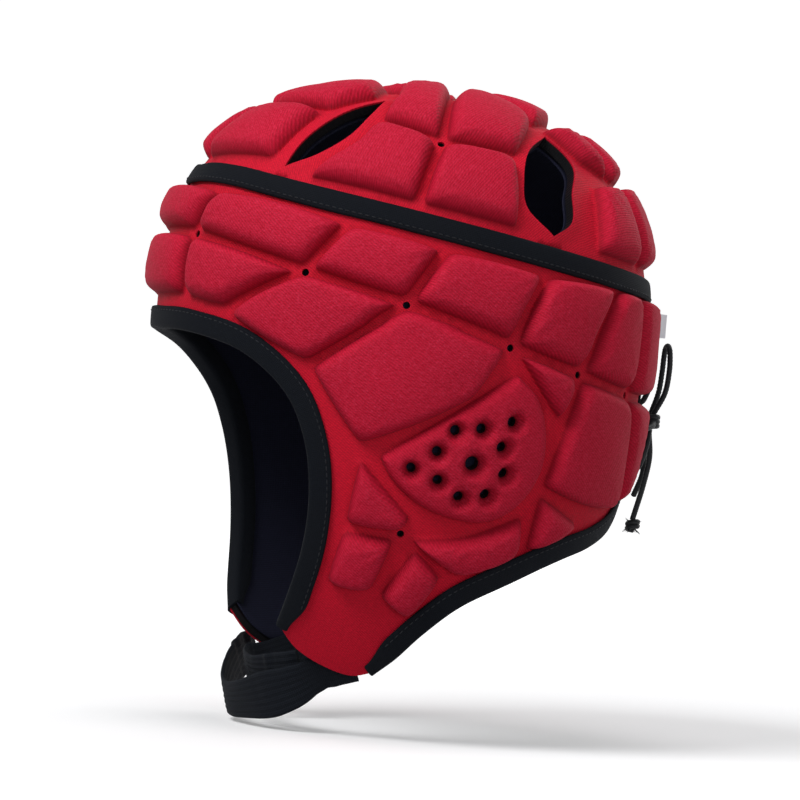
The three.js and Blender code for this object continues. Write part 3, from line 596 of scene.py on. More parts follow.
endPlace = cordLines["lace_tail_long"][-1] - np.array((0, 0, endKnot["radius"] + endKnot["gap"]))
endPiece = dressCord("lace_end_knot", knotLine(endPlace, endKnot["radius"], endKnot["radius"]))
farEnds = {
    "lace_bow": "object", "lace_bow_lower": "object", "lace_tail_long": "knot", "lace_tail_short": "bare",
}
for cordName, cordLine in cordLines.items():
    cordPiece = dressCord(cordName, tucked(cordLine, farEnds[cordName] != "bare"))

# Laced run through the six eyelets, and the knot of the bow; the right half crosses below the left one
leftRun = np.array(laceRun, float)
rightRun = leftRun[1:] * np.array((-1, 1, 1))
nearMiddle = np.abs(rightRun[:, 0]) < lace["crossingReach"]
rightRun[:, 2] -= lace["crossing"] * (nearMiddle & (rightRun[:, 1] > lace["crossingLift"]))
dressCord("lace", smoothLine(np.vstack((rearPoints(leftRun[::-1]), rearPoints(rightRun)))))
dressCord("lace_knot", knotLine(rearPoints([knot["place"]])[0], knot["reach"], knot["height"]))
print("lace tied")

# Moulded panels: lifts off the form and the shape of a pad
moulding = {
    "base": 1.8, "web": 5.2, "shoulder": 10.9, "crown": 12.2, "grooveHalf": 1.9, "cornerCut": 3.2,
    "cutGrowth": 0.9, "cutMost": 0.49, "bow": 0.012, "outlineStep": 1.5, "cornerSteps": 7,
    "cornerSpan": 3, "curveSteps": 3, "roomShare": 0.8,
    "rings": (0.25, 0.6, 1.05, 1.6, 2.3, 3.1, 4.1, 5.3), "wall": 4.6, "wallMost": 0.9, "wallPower": 2.2,
    "wallEase": 0.8, "fill": 2.0, "webFill": 2.2, "baseFill": 7.0, "pleat": 0.22, "pleatAt": 6,
    "pleatReach": 11, "pleatStart": 5, "pleatFolds": (13, 19), "pleatRange": (0.3, 1.4), "lump": 0.3,
    "lumpSpans": (7, 6), "lumpSway": 3, "footShade": 0.55, "footShadeReach": 0.8, "webShade": 0.18,
    "ventRim": 1.2, "ventReach": 4.0, "holeSides": 14, "turnIn": 0.45, "turnInShade": 0.3,
    "underStep": 0.2, "tight": 0.85,
}
ventHole = {"radius": 1.6}
earHole = {
    "radius": 2.2, "middleRadius": 3.1, "crater": 5.0, "craterReach": 2.1, "craterPower": 1.5,
    "tall": 0.86, "lip": 0.9, "lipAt": 2.8, "lipReach": 1.0, "easeIn": 4, "shade": 0.75,
    "shadeReach": 0.6, "rings": (0.4, 0.9, 1.5, 2.2, 3.0), "ringGap": 0.3, "ringGapGrowth": 0.25,
}
eyelet = {"radius": 2.6}
lining = {"top": 0.7, "fill": 4.0}
edgeStep = 2.0

# Edges of the panels on the wearer's left: degrees round from the front, degrees down from the top
bandLine = [
    (0, 57.8), (24, 58.2), (43, 61.3), (60, 64.4), (80, 68), (100, 71.5), (120, 74.5), (140, 76.7),
    (160, 78.1), (168, 78.8),
]
rearLine = [(172.2, 80.5), (175.4, 84.2), (176.3, 90), (176.2, 97), (175, 103.5)]
napeLine = [
    (171.6, 107.6), (167, 111), (158, 114.5), (144, 117.4), (131, 119.4), (118, 122.4), (101, 127.6),
    (91, 133), (82, 139.2), (76, 142.6),
]
tabLine = [(69, 143.6), (58, 142), (48, 138.5)]
faceLine = [
    (44, 134.5), (51, 128), (56, 121), (58, 115), (58, 109.5), (56.5, 105), (53, 100.5), (47, 97),
    (37, 94), (20, 92.3), (0, 92),
]
slitLine = [(173.6, 73.4), (174, 59), (176, 44), (180, 31)]
crownEdgeShift = 1.15  # degrees from the band's line up to the crown's edge

# Where grooves meet, and the pads between them by the names of their corners
junctions = {
    "band1": (23.5, 64.8), "band2": (63, 71.3), "band3": (85.8, 75.4), "band4": (110.5, 79),
    "band5": (134.5, 80.2), "band6": (146.5, 81.2), "band7": (168.8, 83), "hole1": (17.5, 76),
    "hole2": (53.5, 82.8), "hole3": (77.4, 87.2), "hole4": (102.3, 91.5), "hole5": (122.3, 94.2),
    "hole6": (144.6, 96.3), "hole7": (80.8, 117.8), "brow1": (17.5, 88.8), "brow2": (33, 90.2),
    "cheek1": (56, 96), "cheek2": (69, 106.2), "cheek3": (65.5, 117), "cheek4": (60.2, 126.2),
    "earFront": (95, 98.8), "earLow": (84.4, 115.2), "earFoot": (97, 116.8), "earRear": (118, 101.5),
    "gap1": (168.2, 96.5), "gap2": (167.2, 103.5), "nape1": (164, 108.8), "nape2": (152, 112.4),
    "nape3": (135.5, 114.2), "nape4": (114.8, 119.8), "nape5": (97, 124), "rear1": (115, 109.7),
    "rear2": (113, 112.8), "tab1": (75, 127.5), "tab2": (84.5, 118.6), "tab3": (94.5, 123.6),
    "tab4": (86, 132), "frontEdge": (0, 55.8), "frontHole": (0, 33.5), "topFront": (0, 3.5),
    "topHole": (180, 5), "slitTop": (180, 28.5), "vent1": (41, 33), "vent2": (36.5, 55.4),
    "vent3": (56, 21.5), "vent4": (63, 22.5), "vent5": (62.8, 37), "vent6": (58.4, 47.4),
    "crownEdge1": (47, 60.8), "crownEdge2": (78, 66), "crownEdge3": (103.5, 70.4),
    "crownEdge4": (126.5, 73.8), "crownEdge5": (148, 76), "crownEdge6": (170.6, 75.8),
    "sideHole": (84, 44), "rearVent1": (107.2, 47.4), "rearVent2": (127, 31.5), "rearVent3": (134.5, 46),
    "rearVent4": (133.5, 53), "rearTop": (150, 32), "rearHole": (149.5, 52.5), "slit1": (176.2, 35),
    "slit2": (172.6, 52.5),
}
wrapMiddlePads = ["band1 right_band1 right_hole1 hole1", "hole1 right_hole1 right_brow1 brow1"]
wrapSidePads = [
    "band2 band1 hole1 hole2", "band3 band2 hole2 hole3", "band4 band3 hole3 hole4",
    "band5 band4 hole4 hole5", "band6 band5 hole5 hole6", "band7 band6 hole6 gap1",
    "hole2 hole1 brow1 brow2", "hole3 hole2 brow2 cheek1", "hole4 hole3 cheek1 cheek2 earFront",
    "hole5 hole4 earRear", "hole6 hole5 rear1 nape2", "gap1 hole6 nape2 nape1 gap2", "nape3 rear1 nape4",
    "rear2 earFoot hole7 nape5 nape4", "earLow cheek2 cheek3 hole7", "hole7 cheek3 cheek4 tab1",
    "tab3 tab2 tab1 tab4",
]
crownSidePads = [
    "frontHole frontEdge vent2 vent1", "topFront frontHole vent1 vent3",
    "topHole topFront vent4 vent5 sideHole", "topHole sideHole rearVent1 rearVent2",
    "slitTop topHole rearVent2", "sideHole vent5 vent6 crownEdge1 crownEdge2",
    "rearVent1 sideHole crownEdge2 crownEdge3", "rearTop rearVent2 rearVent3 rearHole",
    "slit1 rearTop rearHole slit2", "rearHole rearVent4 crownEdge4 crownEdge5",
    "slit2 rearHole crownEdge5 crownEdge6",
]
earOutline = [
    (104, 94.6), (74, 106.8), (76.5, 109.5), (83, 112.8), (92, 114.8), (102, 115), (110, 112.2),
    (114.5, 107), (114, 101.8), (110.5, 97.6),
]
earTips = {0: 9, 1: 3.5}  # rounding of the ear pad's two corners, by row
earArcStep = 4
smoothCut = 50  # a corner cut this long is part of a curve
earMiddle = (96, 107)
earHoles = [
    (16.2, 18.3), (2.2, 14.8), (-9.2, 13), (-16, 3.3), (-26.3, -5.7), (-14, -8.7), (-3.7, -14.7),
    (8, -13), (15.1, -3.7), (12.5, 7.6),
]
frontVent = [(60, 23.5), (51, 30), (45.5, 38.5), (42, 48.5), (41, 57), (49.5, 52), (56, 44.5), (59, 34)]
rearVent = [
    (128, 35.5), (112.8, 44), (107.2, 54), (106.2, 63), (113, 70), (120, 65.5), (123, 57), (130, 47),
]
ventFoot = 4  # row of a vent's lower point; its upper point is the first row
eyelets = [(170.5, 88), (170.5, 94.2), (169.4, 101)]


# Flat working plane about a middle direction, in millimetres
class WorkPlane:
    def __init__(self, middle):
        self.middle = middle / np.linalg.norm(middle)
        self.east = np.array((-self.middle[1], self.middle[0], 0))
        self.east /= np.linalg.norm(self.east)
        self.north = np.cross(self.middle, self.east)
        self.eastSpan, self.northSpan = (self.span(axis) for axis in (self.east, self.north))

    def span(self, axis, nudge=0.01):
        pair = unit(np.array([self.middle + axis * nudge, self.middle - axis * nudge]))
        ahead, behind = formPoints(pair, moulding["web"])
        return np.linalg.norm(ahead - behind) / (2 * nudge)

    def flatten(self, directions):
        depth = directions @ self.middle
        return np.stack((self.eastSpan * (directions @ self.east) / depth,
                         self.northSpan * (directions @ self.north) / depth), 1)

    def raised(self, points):
        found = (self.middle + points[:, :1] / self.eastSpan * self.east
                 + points[:, 1:] / self.northSpan * self.north)
        return unit(found)


def signedArea(loop):
    ahead = np.roll(loop, -1, 0)
    return 0.5 * np.sum(loop[:, 0] * ahead[:, 1] - loop[:, 1] * ahead[:, 0])


sharpestHalf = 0.4  # keeps a narrow corner from running far in


def insetPolygon(points, inset):
    into = unit(points - np.roll(points, 1, 0))
    onward = np.roll(into, -1, 0)
    bisector = unit(np.stack((-into[:, 1] - onward[:, 1], into[:, 0] + onward[:, 0]), 1))
    half = bisector[:, 1] * into[:, 0] - bisector[:, 0] * into[:, 1]
    return points + bisector * (inset / np.maximum(half, sharpestHalf))[:, None]


def segmentDistances(points, loop):
    start = loop[None]
    run = (np.roll(loop, -1, 0) - loop)[None]
    away = points[:, None] - start
    share = np.clip((away * run).sum(2) / np.maximum((run ** 2).sum(2), tiny), 0, 1)
    return np.linalg.norm(away - share[..., None] * run, axis=2)


def insideLoop(points, loop):
    x, y = points[:, 0][:, None], points[:, 1][:, None]
    x0, y0 = loop[:, 0], loop[:, 1]
    x1, y1 = np.roll(x0, -1), np.roll(y0, -1)
    crosses = (y0 > y) != (y1 > y)
    where = x0 + (y - y0) * (x1 - x0) / np.where(y1 == y0, tiny, y1 - y0)
    return (crosses & (x < where)).sum(1) % 2 == 1


# Points in staggered rows, and those of them that keep their distance from points already there
filling = {"rowShare": 0.866, "chartGap": 0.62, "padGap": 0.6, "weld": 1e-7}


def hexGrid(low, high, step):
    rows = np.arange(low[1], high[1] + step, step * filling["rowShare"])
    columns = np.arange(low[0] - step, high[0] + step, step)
    return np.array([(x + (number % 2) * step / 2, y) for number, y in enumerate(rows) for x in columns])


def spacedOut(points, accepted, gap):
    cells = {}

    def home(place):
        return int(place[0] // gap), int(place[1] // gap)

    for place in accepted:
        cells.setdefault(home(place), []).append(place)
    around = [(right, up) for right in (-1, 0, 1) for up in (-1, 0, 1)]
    fresh = []
    for place in points:
        column, row = home(place)
        near = (other for right, up in around for other in cells.get((column + right, row + up), ()))
        if all((other[0] - place[0]) ** 2 + (other[1] - place[1]) ** 2 >= gap * gap for other in near):
            cells.setdefault((column, row), []).append(place)
            fresh.append(place)
    return np.array(fresh).reshape(-1, 2)


# Triangles inside the first loop and outside the others; a loop is a run of the points
def triangles(points, loops):
    edges = [(a, b) for loop in loops for a, b in zip(loop, np.roll(loop, -1).tolist())]
    result = delaunay_2d_cdt([Vector(p) for p in points.tolist()], edges, [], 0, filling["weld"], True)
    origins = [origin[0] if origin else -1 for origin in result[3]]
    if min(origins) < 0:
        print("outlines cross at", origins.count(-1), "points")
    faces = [[origins[corner] for corner in face] for face in result[2]]
    faces = np.array([face for face in faces if len(face) == 3 and min(face) >= 0])
    first, second, third = (points[faces[:, corner]] for corner in range(3))
    one, two = second - first, third - first
    areas = one[:, 0] * two[:, 1] - one[:, 1] * two[:, 0]
    faces[areas < 0] = faces[areas < 0][:, ::-1]
    keep = np.zeros(len(faces), bool)
    for region in floodedRegions(faces, edges):
        middle = points[faces[region[np.abs(areas[region]).argmax()]]].mean(0)[None]
        inside = insideLoop(middle, points[loops[0]])[0]
        keep[region] = inside and not any(insideLoop(middle, points[loop])[0] for loop in loops[1:])
    return faces[keep]


# Faces in groups that no kept edge divides
def floodedRegions(faces, edges):
    kept = {(min(edge), max(edge)) for edge in edges}
    parent = list(range(len(faces)))

    def root(number):
        while parent[number] != number:
            parent[number] = parent[parent[number]]
            number = parent[number]
        return number

    owners = {}
    for number, (a, b, c) in enumerate(faces.tolist()):
        for edge in ((min(a, b), max(a, b)), (min(b, c), max(b, c)), (min(c, a), max(c, a))):
            if edge not in kept:
                parent[root(number)] = root(owners.setdefault(edge, number))
    roots = np.array([root(number) for number in range(len(faces))])
    return [np.flatnonzero(roots == region) for region in np.unique(roots)]


def junction(name, side):
    isMirrored = name.startswith("right_")
    azimuth, polar = junctions[name.removeprefix("right_")]
    return toward(azimuth, polar, -side if isMirrored else side)


# Closed outline at an inset from a pad's foot: corners rounded, sides a little bowed
def ringLoop(pad, inset):
    corners = insetPolygon(pad["sharp"], inset)
    total = len(corners)
    cuts = [cut + inset * moulding["cutGrowth"] for cut in pad["cuts"]]

    def cutTowards(here, other):
        away = corners[other % total] - corners[here % total]
        share = min(cuts[here % total] / np.linalg.norm(away), moulding["cutMost"])
        return corners[here % total] + away * share

    loop = []
    for here, corner in enumerate(corners):
        start, stop = cutTowards(here, here - 1), cutTowards(here, here + 1)
        t = np.linspace(0, 1, pad["cornerSteps"][here])[:, None]
        loop.append((1 - t) ** 2 * start + 2 * t * (1 - t) * corner + t ** 2 * stop)
        side = cutTowards(here + 1, here) - stop
        share = np.linspace(0, 1, pad["sideSteps"][here] + 2)[1:-1, None]
        outward = np.array((side[1], -side[0])) * moulding["bow"]
        loop.append(stop + side * share + outward * 4 * share * (1 - share))
    return np.vstack(loop)


# Pad from the polygon of its foot, with the deepest inset that keeps every side
def shapedPad(plane, sharp, cuts, holes=(), tall=1.0):
    ahead = np.roll(sharp, -1, 0) - sharp
    lengths = np.linalg.norm(ahead, axis=1)
    heading = np.arctan2(ahead[:, 1], ahead[:, 0])
    bend = (heading - np.roll(heading, 1) + math.pi) % fullTurn - math.pi
    shrink = np.tan(bend / 2)
    room = lengths / np.maximum(shrink + np.roll(shrink, -1), tiny)
    smooth = np.array(cuts) >= smoothCut
    sideSteps = np.maximum(1, lengths // moulding["outlineStep"] - moulding["cornerSpan"])
    pad = {
        "plane": plane, "sharp": sharp, "cuts": cuts, "holes": list(holes), "tall": tall,
        "room": moulding["roomShare"] * room.min(),
        "cornerSteps": np.where(smooth, moulding["curveSteps"], moulding["cornerSteps"]),
        "sideSteps": np.where(smooth & np.roll(smooth, -1), 0, sideSteps).astype(int),
    }
    pad["foot"] = ringLoop(pad, 0.0)
    return pad


def padShape(names, side):
    corners = np.array([junction(name, side) for name in names.split()])
    plane = WorkPlane(corners.sum(0))
    flat = plane.flatten(corners)
    if signedArea(flat) < 0:
        flat = flat[::-1]
    cuts = [moulding["cornerCut"]] * len(flat)
    return shapedPad(plane, insetPolygon(flat, moulding["grooveHalf"]), cuts)


def earShape(side):
    middle = toward(*earMiddle, side)
    rows = np.array([toward(*row, side) for row in earOutline])
    plane = WorkPlane(rows.sum(0))
    flat = plane.flatten(rows)
    arc = evenSteps(smoothLine(np.vstack((flat[1:], flat[:1]))), earArcStep)
    cuts = [earTips[1], *[smoothCut] * (len(arc) - 2), earTips[0]]
    if signedArea(arc) < 0:
        arc, cuts = arc[::-1], cuts[::-1]
    places = WorkPlane(middle).raised(np.array([(back * side, up) for back, up in earHoles]))
    holes = [(place, earHole["radius"]) for place in plane.flatten(places)]
    holes.append((plane.flatten(middle[None])[0], earHole["middleRadius"]))
    return shapedPad(plane, arc, cuts, holes, earHole["tall"])


def circle(middle, radius, sides):
    turn = np.arange(sides) * fullTurn / sides
    return middle + radius * np.stack((np.cos(turn), np.sin(turn)), 1)


# Share of a pad's height at points of its plane, with pleats drawn in at the corners
def padHeights(points, depth, pad, random):
    deepest = max(depth.max(), 1.0)
    wall = min(moulding["wall"], deepest * moulding["wallMost"])
    away = 1 - np.clip(depth / wall, 0, 1)
    rise = (1 - away ** moulding["wallPower"]) ** moulding["wallEase"]
    crown = 1 - (1 - np.clip(depth / deepest, 0, 1)) ** 2
    tall = moulding["crown"] - moulding["web"]
    shoulderShare = (moulding["shoulder"] - moulding["web"]) / tall
    height = pad["tall"] * (shoulderShare * rise + (1 - shoulderShare) * crown)
    sway = random.uniform(-1, 1, 4)
    spread = np.abs(pad["foot"]).max()
    lump = (sway[0] * points[:, 0] + sway[1] * points[:, 1]) / spread
    waves = np.sin(points / moulding["lumpSpans"] + sway[2:] * moulding["lumpSway"])
    lump += 0.5 * waves[:, 0] * waves[:, 1]
    height += moulding["lump"] / tall * lump * rise
    middle = pad["foot"].mean(0)
    for corner in pad["sharp"] if not pad["holes"] else ():
        gone = points - corner
        reach = np.linalg.norm(gone, axis=1)
        heading = middle - corner
        angle = np.arctan2(heading[0] * gone[:, 1] - heading[1] * gone[:, 0], gone @ heading)
        fold = np.sin(angle * random.uniform(*moulding["pleatFolds"]) + random.uniform(0, fullTurn))
        fade = np.exp(-((reach - moulding["pleatAt"]) / moulding["pleatReach"]) ** 2)
        fade *= np.clip(reach / moulding["pleatStart"], 0, 1)
        height += moulding["pleat"] * random.uniform(*moulding["pleatRange"]) / tall * fold * fade * rise
    return height


# Mesh under construction over the form: directions, lifts and the fields that its cloth reads
class Skin:
    def __init__(self):
        self.directions = []
        self.fields = {"lifts": [], "relief": [], "crease": [], "core": []}
        self.faces = []
        self.count = 0

    def add(self, directions, lifts, relief=0.0, crease=0.0, core=0.0):
        many = len(directions)
        self.directions.append(directions)
        for store, values in zip(self.fields.values(), (lifts, relief, crease, core)):
            store.append(np.broadcast_to(np.asarray(values, float), many))
        self.count += many
        return np.arange(self.count - many, self.count)

    def wall(self, outer, inner, reverse=False):
        for a, b, c, d in zip(outer, np.roll(outer, -1), np.roll(inner, -1), inner):
            self.faces.append([d, c, b, a] if reverse else [a, b, c, d])

    def cover(self, faces, indices, reverse=False):
        chosen = indices[faces]
        self.faces += (chosen[:, ::-1] if reverse else chosen).tolist()

    def finished(self, name, chart, material, shaded=True):
        directions = np.vstack(self.directions)
        fields = {field: np.concatenate(values) for field, values in self.fields.items()}
        points = formPoints(directions, fields.pop("lifts"))
        return makePiece(name, points, self.faces, material, chart(directions), fields if shaded else None)


def fillChart(loops, chart, unchart, step):
    flat = [chart(loop) for loop in loops]
    every = np.vstack(flat)
    grid = hexGrid(flat[0].min(0), flat[0].max(0), step)
    grid = grid[insideLoop(grid, flat[0])]
    for loop in flat[1:]:
        near = ((grid > loop.min(0)) & (grid < loop.max(0))).all(1)
        drop = near.copy()
        drop[near] = insideLoop(grid[near], loop)
        grid = grid[~drop]
    grid = spacedOut(grid, every, step * filling["chartGap"])
    points = np.vstack((every, grid))
    starts = np.concatenate(([0], np.cumsum([len(loop) for loop in flat])))
    runs = [list(range(starts[n], starts[n + 1])) for n in range(len(flat))]
    return runs, unchart(grid), triangles(points, runs)


rimChunk = 40  # rim points compared at a time


def raiseNearVents(directions, vents):
    if not vents:
        return np.full(len(directions), moulding["web"])
    rims = np.vstack([formPoints(vent, moulding["web"]) for vent in vents])
    places = formPoints(directions, moulding["web"])
    nearest = np.full(len(places), np.inf)
    for rim in np.array_split(rims, max(1, len(rims) // rimChunk)):
        nearest = np.minimum(nearest, np.linalg.norm(places[:, None] - rim[None], axis=2).min(1))
    return moulding["web"] + moulding["ventRim"] * np.exp(-(nearest / moulding["ventReach"]) ** 2)


def loopFacing(loop, chart):
    return loop[::-1] if signedArea(chart(loop)) < 0 else loop


# Panel: web between the pads, the pads, the walls of its edge and cuts, and its underside
def buildPanel(name, outline, pads, cuts, vents, chart, unchart, seed):
    random = np.random.default_rng(seed)
    skin = Skin()
    outline = loopFacing(outline, chart)
    cuts = [loopFacing(cut, chart) for cut in cuts]
    feet = [pad["plane"].raised(pad["foot"]) for pad in pads]
    loops = [outline, *feet, *cuts]
    runs, grid, faces = fillChart(loops, chart, unchart, moulding["webFill"])
    webDirections = np.vstack([*loops, grid])
    webLifts = raiseNearVents(webDirections, vents)
    # Painted shade on the web where it meets the feet of the pads
    shaded = np.zeros(len(webDirections))
    for run in runs[1:1 + len(pads)]:
        shaded[run] = moulding["webShade"]
    web = skin.add(webDirections, webLifts, 0.0, shaded)
    skin.cover(faces, web)
    innerCuts = []
    for number, pad in enumerate(pads):
        innerCuts += buildPad(skin, pad, web[runs[1 + number]], vents, random)
    tops = [web[runs[0]], *(web[run] for run in runs[1 + len(pads):])]
    closeUnder(skin, [outline, *cuts], tops, innerCuts, chart, unchart)
    return skin.finished(name, chart, finishes["red"])


# Pad: rings that climb from its foot, and a top with its sound holes, whose loops are given back
def buildPad(skin, pad, footRing, vents, random):
    plane = pad["plane"]
    insets = [inset for inset in moulding["rings"] if inset < pad["room"]]
    *lower, last = [ringLoop(pad, inset) for inset in insets]
    sides = moulding["holeSides"]
    holeLoops = [circle(place, radius, sides) for place, radius in pad["holes"]]
    points = np.vstack([last, *holeLoops])
    for place, radius in pad["holes"]:
        for step in earHole["rings"]:
            around = circle(place, radius + step, sides + 2)
            gap = earHole["ringGap"] + step * earHole["ringGapGrowth"]
            points = np.vstack((points, spacedOut(around[insideLoop(around, last)], points, gap)))
    grid = hexGrid(last.min(0), last.max(0), moulding["fill"])
    grid = grid[insideLoop(grid, last)]
    for place, radius in pad["holes"]:
        grid = grid[np.linalg.norm(grid - place, axis=1) > radius]
    points = np.vstack((points, spacedOut(grid, points, moulding["fill"] * filling["padGap"])))
    starts = len(last) + sides * np.arange(len(holeLoops))
    runs = [list(range(len(last))), *(list(range(start, start + sides)) for start in starts)]
    faces = triangles(points, runs)
    inward = insets[-1] + segmentDistances(points, last).min(1)
    depth = np.concatenate((np.repeat(insets[:-1], len(last)), inward))
    points = np.vstack((*lower, points))
    height = padHeights(points, depth, pad, random)
    directions = plane.raised(points)
    base = raiseNearVents(directions, vents)
    lifts = base + height * (moulding["crown"] - base)
    # Painted shade at the foot of the pad and round its sound holes
    crease = moulding["footShade"] * np.exp(-(depth / moulding["footShadeReach"]) ** 2)
    for place, radius in pad["holes"]:
        away = np.clip(np.linalg.norm(points - place, axis=1) - radius, 0, None)
        lip = earHole["lip"] * np.exp(-((away - earHole["lipAt"]) / earHole["lipReach"]) ** 2)
        dip = earHole["crater"] * np.exp(-(away / earHole["craterReach"]) ** earHole["craterPower"])
        lifts += (lip - dip) * eased(depth, 0, earHole["easeIn"])
        crease = np.maximum(crease, earHole["shade"] * np.exp(-away / earHole["shadeReach"]))
    indices = skin.add(directions, lifts, height, crease)
    split = len(lower) * len(last)
    loops = [footRing, *indices[:split + len(last)].reshape(-1, len(last))]
    for low, high in zip(loops, loops[1:]):
        skin.wall(low, high)
    skin.cover(faces, indices[split:])
    return [(plane.raised(loop), indices[split:][run]) for loop, run in zip(holeLoops, runs[1:])]


# Underside of a panel and the walls of its edge and its cuts, dark foam up to the turned-in cloth
def closeUnder(skin, loops, tops, innerCuts, chart, unchart):
    loops = [*loops, *(loop for loop, _ in innerCuts)]
    tops = [*tops, *(ring for _, ring in innerCuts)]
    runs, grid, faces = fillChart(loops, chart, unchart, moulding["baseFill"])
    topLifts = np.concatenate(skin.fields["lifts"])
    under = skin.add(np.vstack([*loops, grid]), moulding["base"], core=1.0)
    skin.cover(faces, under, True)
    for number, (loop, top) in enumerate(zip(loops, tops)):
        rings = [under[runs[number]], skin.add(loop, moulding["base"] + moulding["underStep"], core=1.0)]
        rings.append(skin.add(loop, topLifts[top] - moulding["turnIn"] * 2, core=1.0))
        # Painted shade along the turned-in fold of the cloth
        rings.append(skin.add(loop, topLifts[top] - moulding["turnIn"], crease=moulding["turnInShade"]))
        rings.append(top)
        for low, high in zip(rings, rings[1:]):
            skin.wall(low, high, number > 0)


def holeLoop(row, side, radius):
    plane = WorkPlane(toward(*row, side))
    return plane.raised(circle(np.zeros(2), radius, moulding["holeSides"]))


def ventLoop(rows, side):
    plane = WorkPlane(np.array([toward(*row, side) for row in rows]).sum(0))
    flat = plane.flatten(np.array([toward(*row, side) for row in rows]))
    halves = flat[:ventFoot + 1], np.vstack((flat[ventFoot:], flat[:1]))
    loop = [evenSteps(smoothLine(half), moulding["outlineStep"])[:-1] for half in halves]
    return plane.raised(np.vstack(loop))


edgeRows = bandLine + rearLine + napeLine
edgeLeft = surfaceLine(edgeRows, edgeStep)
faceLeft = surfaceLine(faceLine, edgeStep)
tabLeft = surfaceLine([napeLine[-1], *tabLine, faceLine[0]], edgeStep)[1:-1]
wrapLeft = np.vstack((edgeLeft, tabLeft, faceLeft))
wrapOutline = np.vstack((wrapLeft, mirrored(wrapLeft)[::-1][1:-1]))
raisedBand = [(azimuth, polar - crownEdgeShift) for azimuth, polar in bandLine]
crownLeft = np.vstack((surfaceLine(raisedBand, edgeStep), surfaceLine(slitLine, edgeStep)))
crownOutline = np.vstack((crownLeft, mirrored(crownLeft)[::-1][1:-1]))

wrapPads = [padShape(names, 1) for names in wrapMiddlePads]
wrapPads += [padShape(names, side) for side in bothSides for names in wrapSidePads]
wrapPads += [earShape(side) for side in bothSides]
crownPads = [padShape(names, side) for side in bothSides for names in crownSidePads]
wrapHoleNames = ("hole1", "hole2", "hole3", "hole4", "hole5", "hole6", "hole7")
crownHoleNames = ("sideHole", "rearHole")
middleHoleNames = ("frontHole", "topHole")


def ventHoles(names, sides):
    return [holeLoop(junctions[name], side, ventHole["radius"]) for side in sides for name in names]


eyeletCuts = [holeLoop(row, side, eyelet["radius"]) for side in bothSides for row in eyelets]
wrapCuts = eyeletCuts + ventHoles(wrapHoleNames, bothSides)
ventCuts = [ventLoop(rows, side) for side in bothSides for rows in (frontVent, rearVent)]
crownCuts = ventCuts + ventHoles(crownHoleNames, bothSides) + ventHoles(middleHoleNames, bothSides[:1])
seeds = {"wrap_panel": 11, "crown_panel": 23}  # for the lumps and pleats of the pads
charts = {"wrap": (wrapChart, wrapDirections), "crown": (crownChart, crownDirections)}
for panelName, panelOutline, panelPads, panelCuts, panelVents, panelCharts in (
        ("wrap_panel", wrapOutline, wrapPads, wrapCuts, [], charts["wrap"]),
        ("crown_panel", crownOutline, crownPads, crownCuts, ventCuts, charts["crown"])):
    panelPiece = buildPanel(panelName + "_padded", panelOutline, panelPads, panelCuts, panelVents,
                            *panelCharts, seeds[panelName])
    standFor(panelPiece, panelName)
    print(panelName, "moulded,", len(panelPiece.data.polygons), "faces")


# Lining: one thin cloth under each panel
def buildLining(name, outline, cuts, chart, unchart):
    skin = Skin()
    loops = [loopFacing(loop, chart) for loop in (outline, *cuts)]
    runs, grid, faces = fillChart(loops, chart, unchart, lining["fill"])
    directions = np.vstack([*loops, grid])
    low = skin.add(directions, 0.0)
    high = skin.add(directions, lining["top"])
    skin.cover(faces, low, True)
    skin.cover(faces, high)
    for number, run in enumerate(runs):
        skin.wall(low[run], high[run], number > 0)
    return skin.finished(name, chart, finishes["lining"], shaded=False)


for liningName, liningOutline, liningCuts, liningCharts in (
        ("wrap_lining", wrapOutline, eyeletCuts, charts["wrap"]),
        ("crown_lining", crownOutline, ventCuts, charts["crown"])):
    liningPiece = buildLining(liningName + "_cloth", liningOutline, liningCuts, *liningCharts)
    standFor(liningPiece, liningName)
print("lining fitted")

# Tape folded over an edge: how far in from the edge and how high off the form, round its section
tape = {
    "width": 8.0, "gapWidth": 6.0, "gapRange": (0.09, 0.3), "inside": 1.2, "top": 7.5, "leg": 6.05,
    "proud": 1.5, "foot": -1.5, "under": -0.42, "step": 1.8, "sway": 0.16, "swaySpans": (5.3, 11.7, 23),
    "swayLift": 0.5, "swayTop": 4, "swayReach": 3, "taper": 16, "tipShare": 0.5,
}


# From the edge sewn on the cloth, over the top, round the fold, in under the lining and back inside
def tapeSection(outer):
    inner = outer - tape["inside"]
    top, leg, foot, proud, under = (tape[key] for key in ("top", "leg", "foot", "proud", "under"))
    return [
        (outer, leg + 0.5), (outer - 0.25, top - 0.3), (outer - 0.9, top), (outer * 0.7, top + 0.05),
        (outer * 0.4, top + 0.08), (0.6, top + 0.02), (-0.5, top - 0.2), (-1.1, top - 0.75),
        (-proud, top - 1.9), (-proud, 2.2), (-proud, 0.6), (-1.25, -0.4), (-0.6, foot + 0.3), (0.3, foot),
        (inner * 0.5, foot), (inner - 0.6, foot), (inner, foot + 0.5), (inner - 0.3, foot + 1.05),
        (inner * 0.5, under), (0.2, under), (-0.35, -0.1), (under, 1.5), (under, leg - 0.5), (0.0, leg),
        (outer * 0.5, leg), (outer - 0.4, leg),
    ]


def inwardAlong(line):
    along = np.gradient(formPoints(line), axis=0)
    out = formPoints(line, 1.0) - formPoints(line)
    return unit(np.cross(out, along))


def tapeWidths(line):
    fromGap = np.where(line[:, 1] > 0, eased(np.abs(line[:, 0]), *tape["gapRange"]), 1.0)
    return tape["gapWidth"] + (tape["width"] - tape["gapWidth"]) * fromGap


def onTape(line, reach, lift):
    feet = formPoints(line) + inwardAlong(line) * np.asarray(reach)[:, None]
    return formPoints(directionsOf(feet), lift)


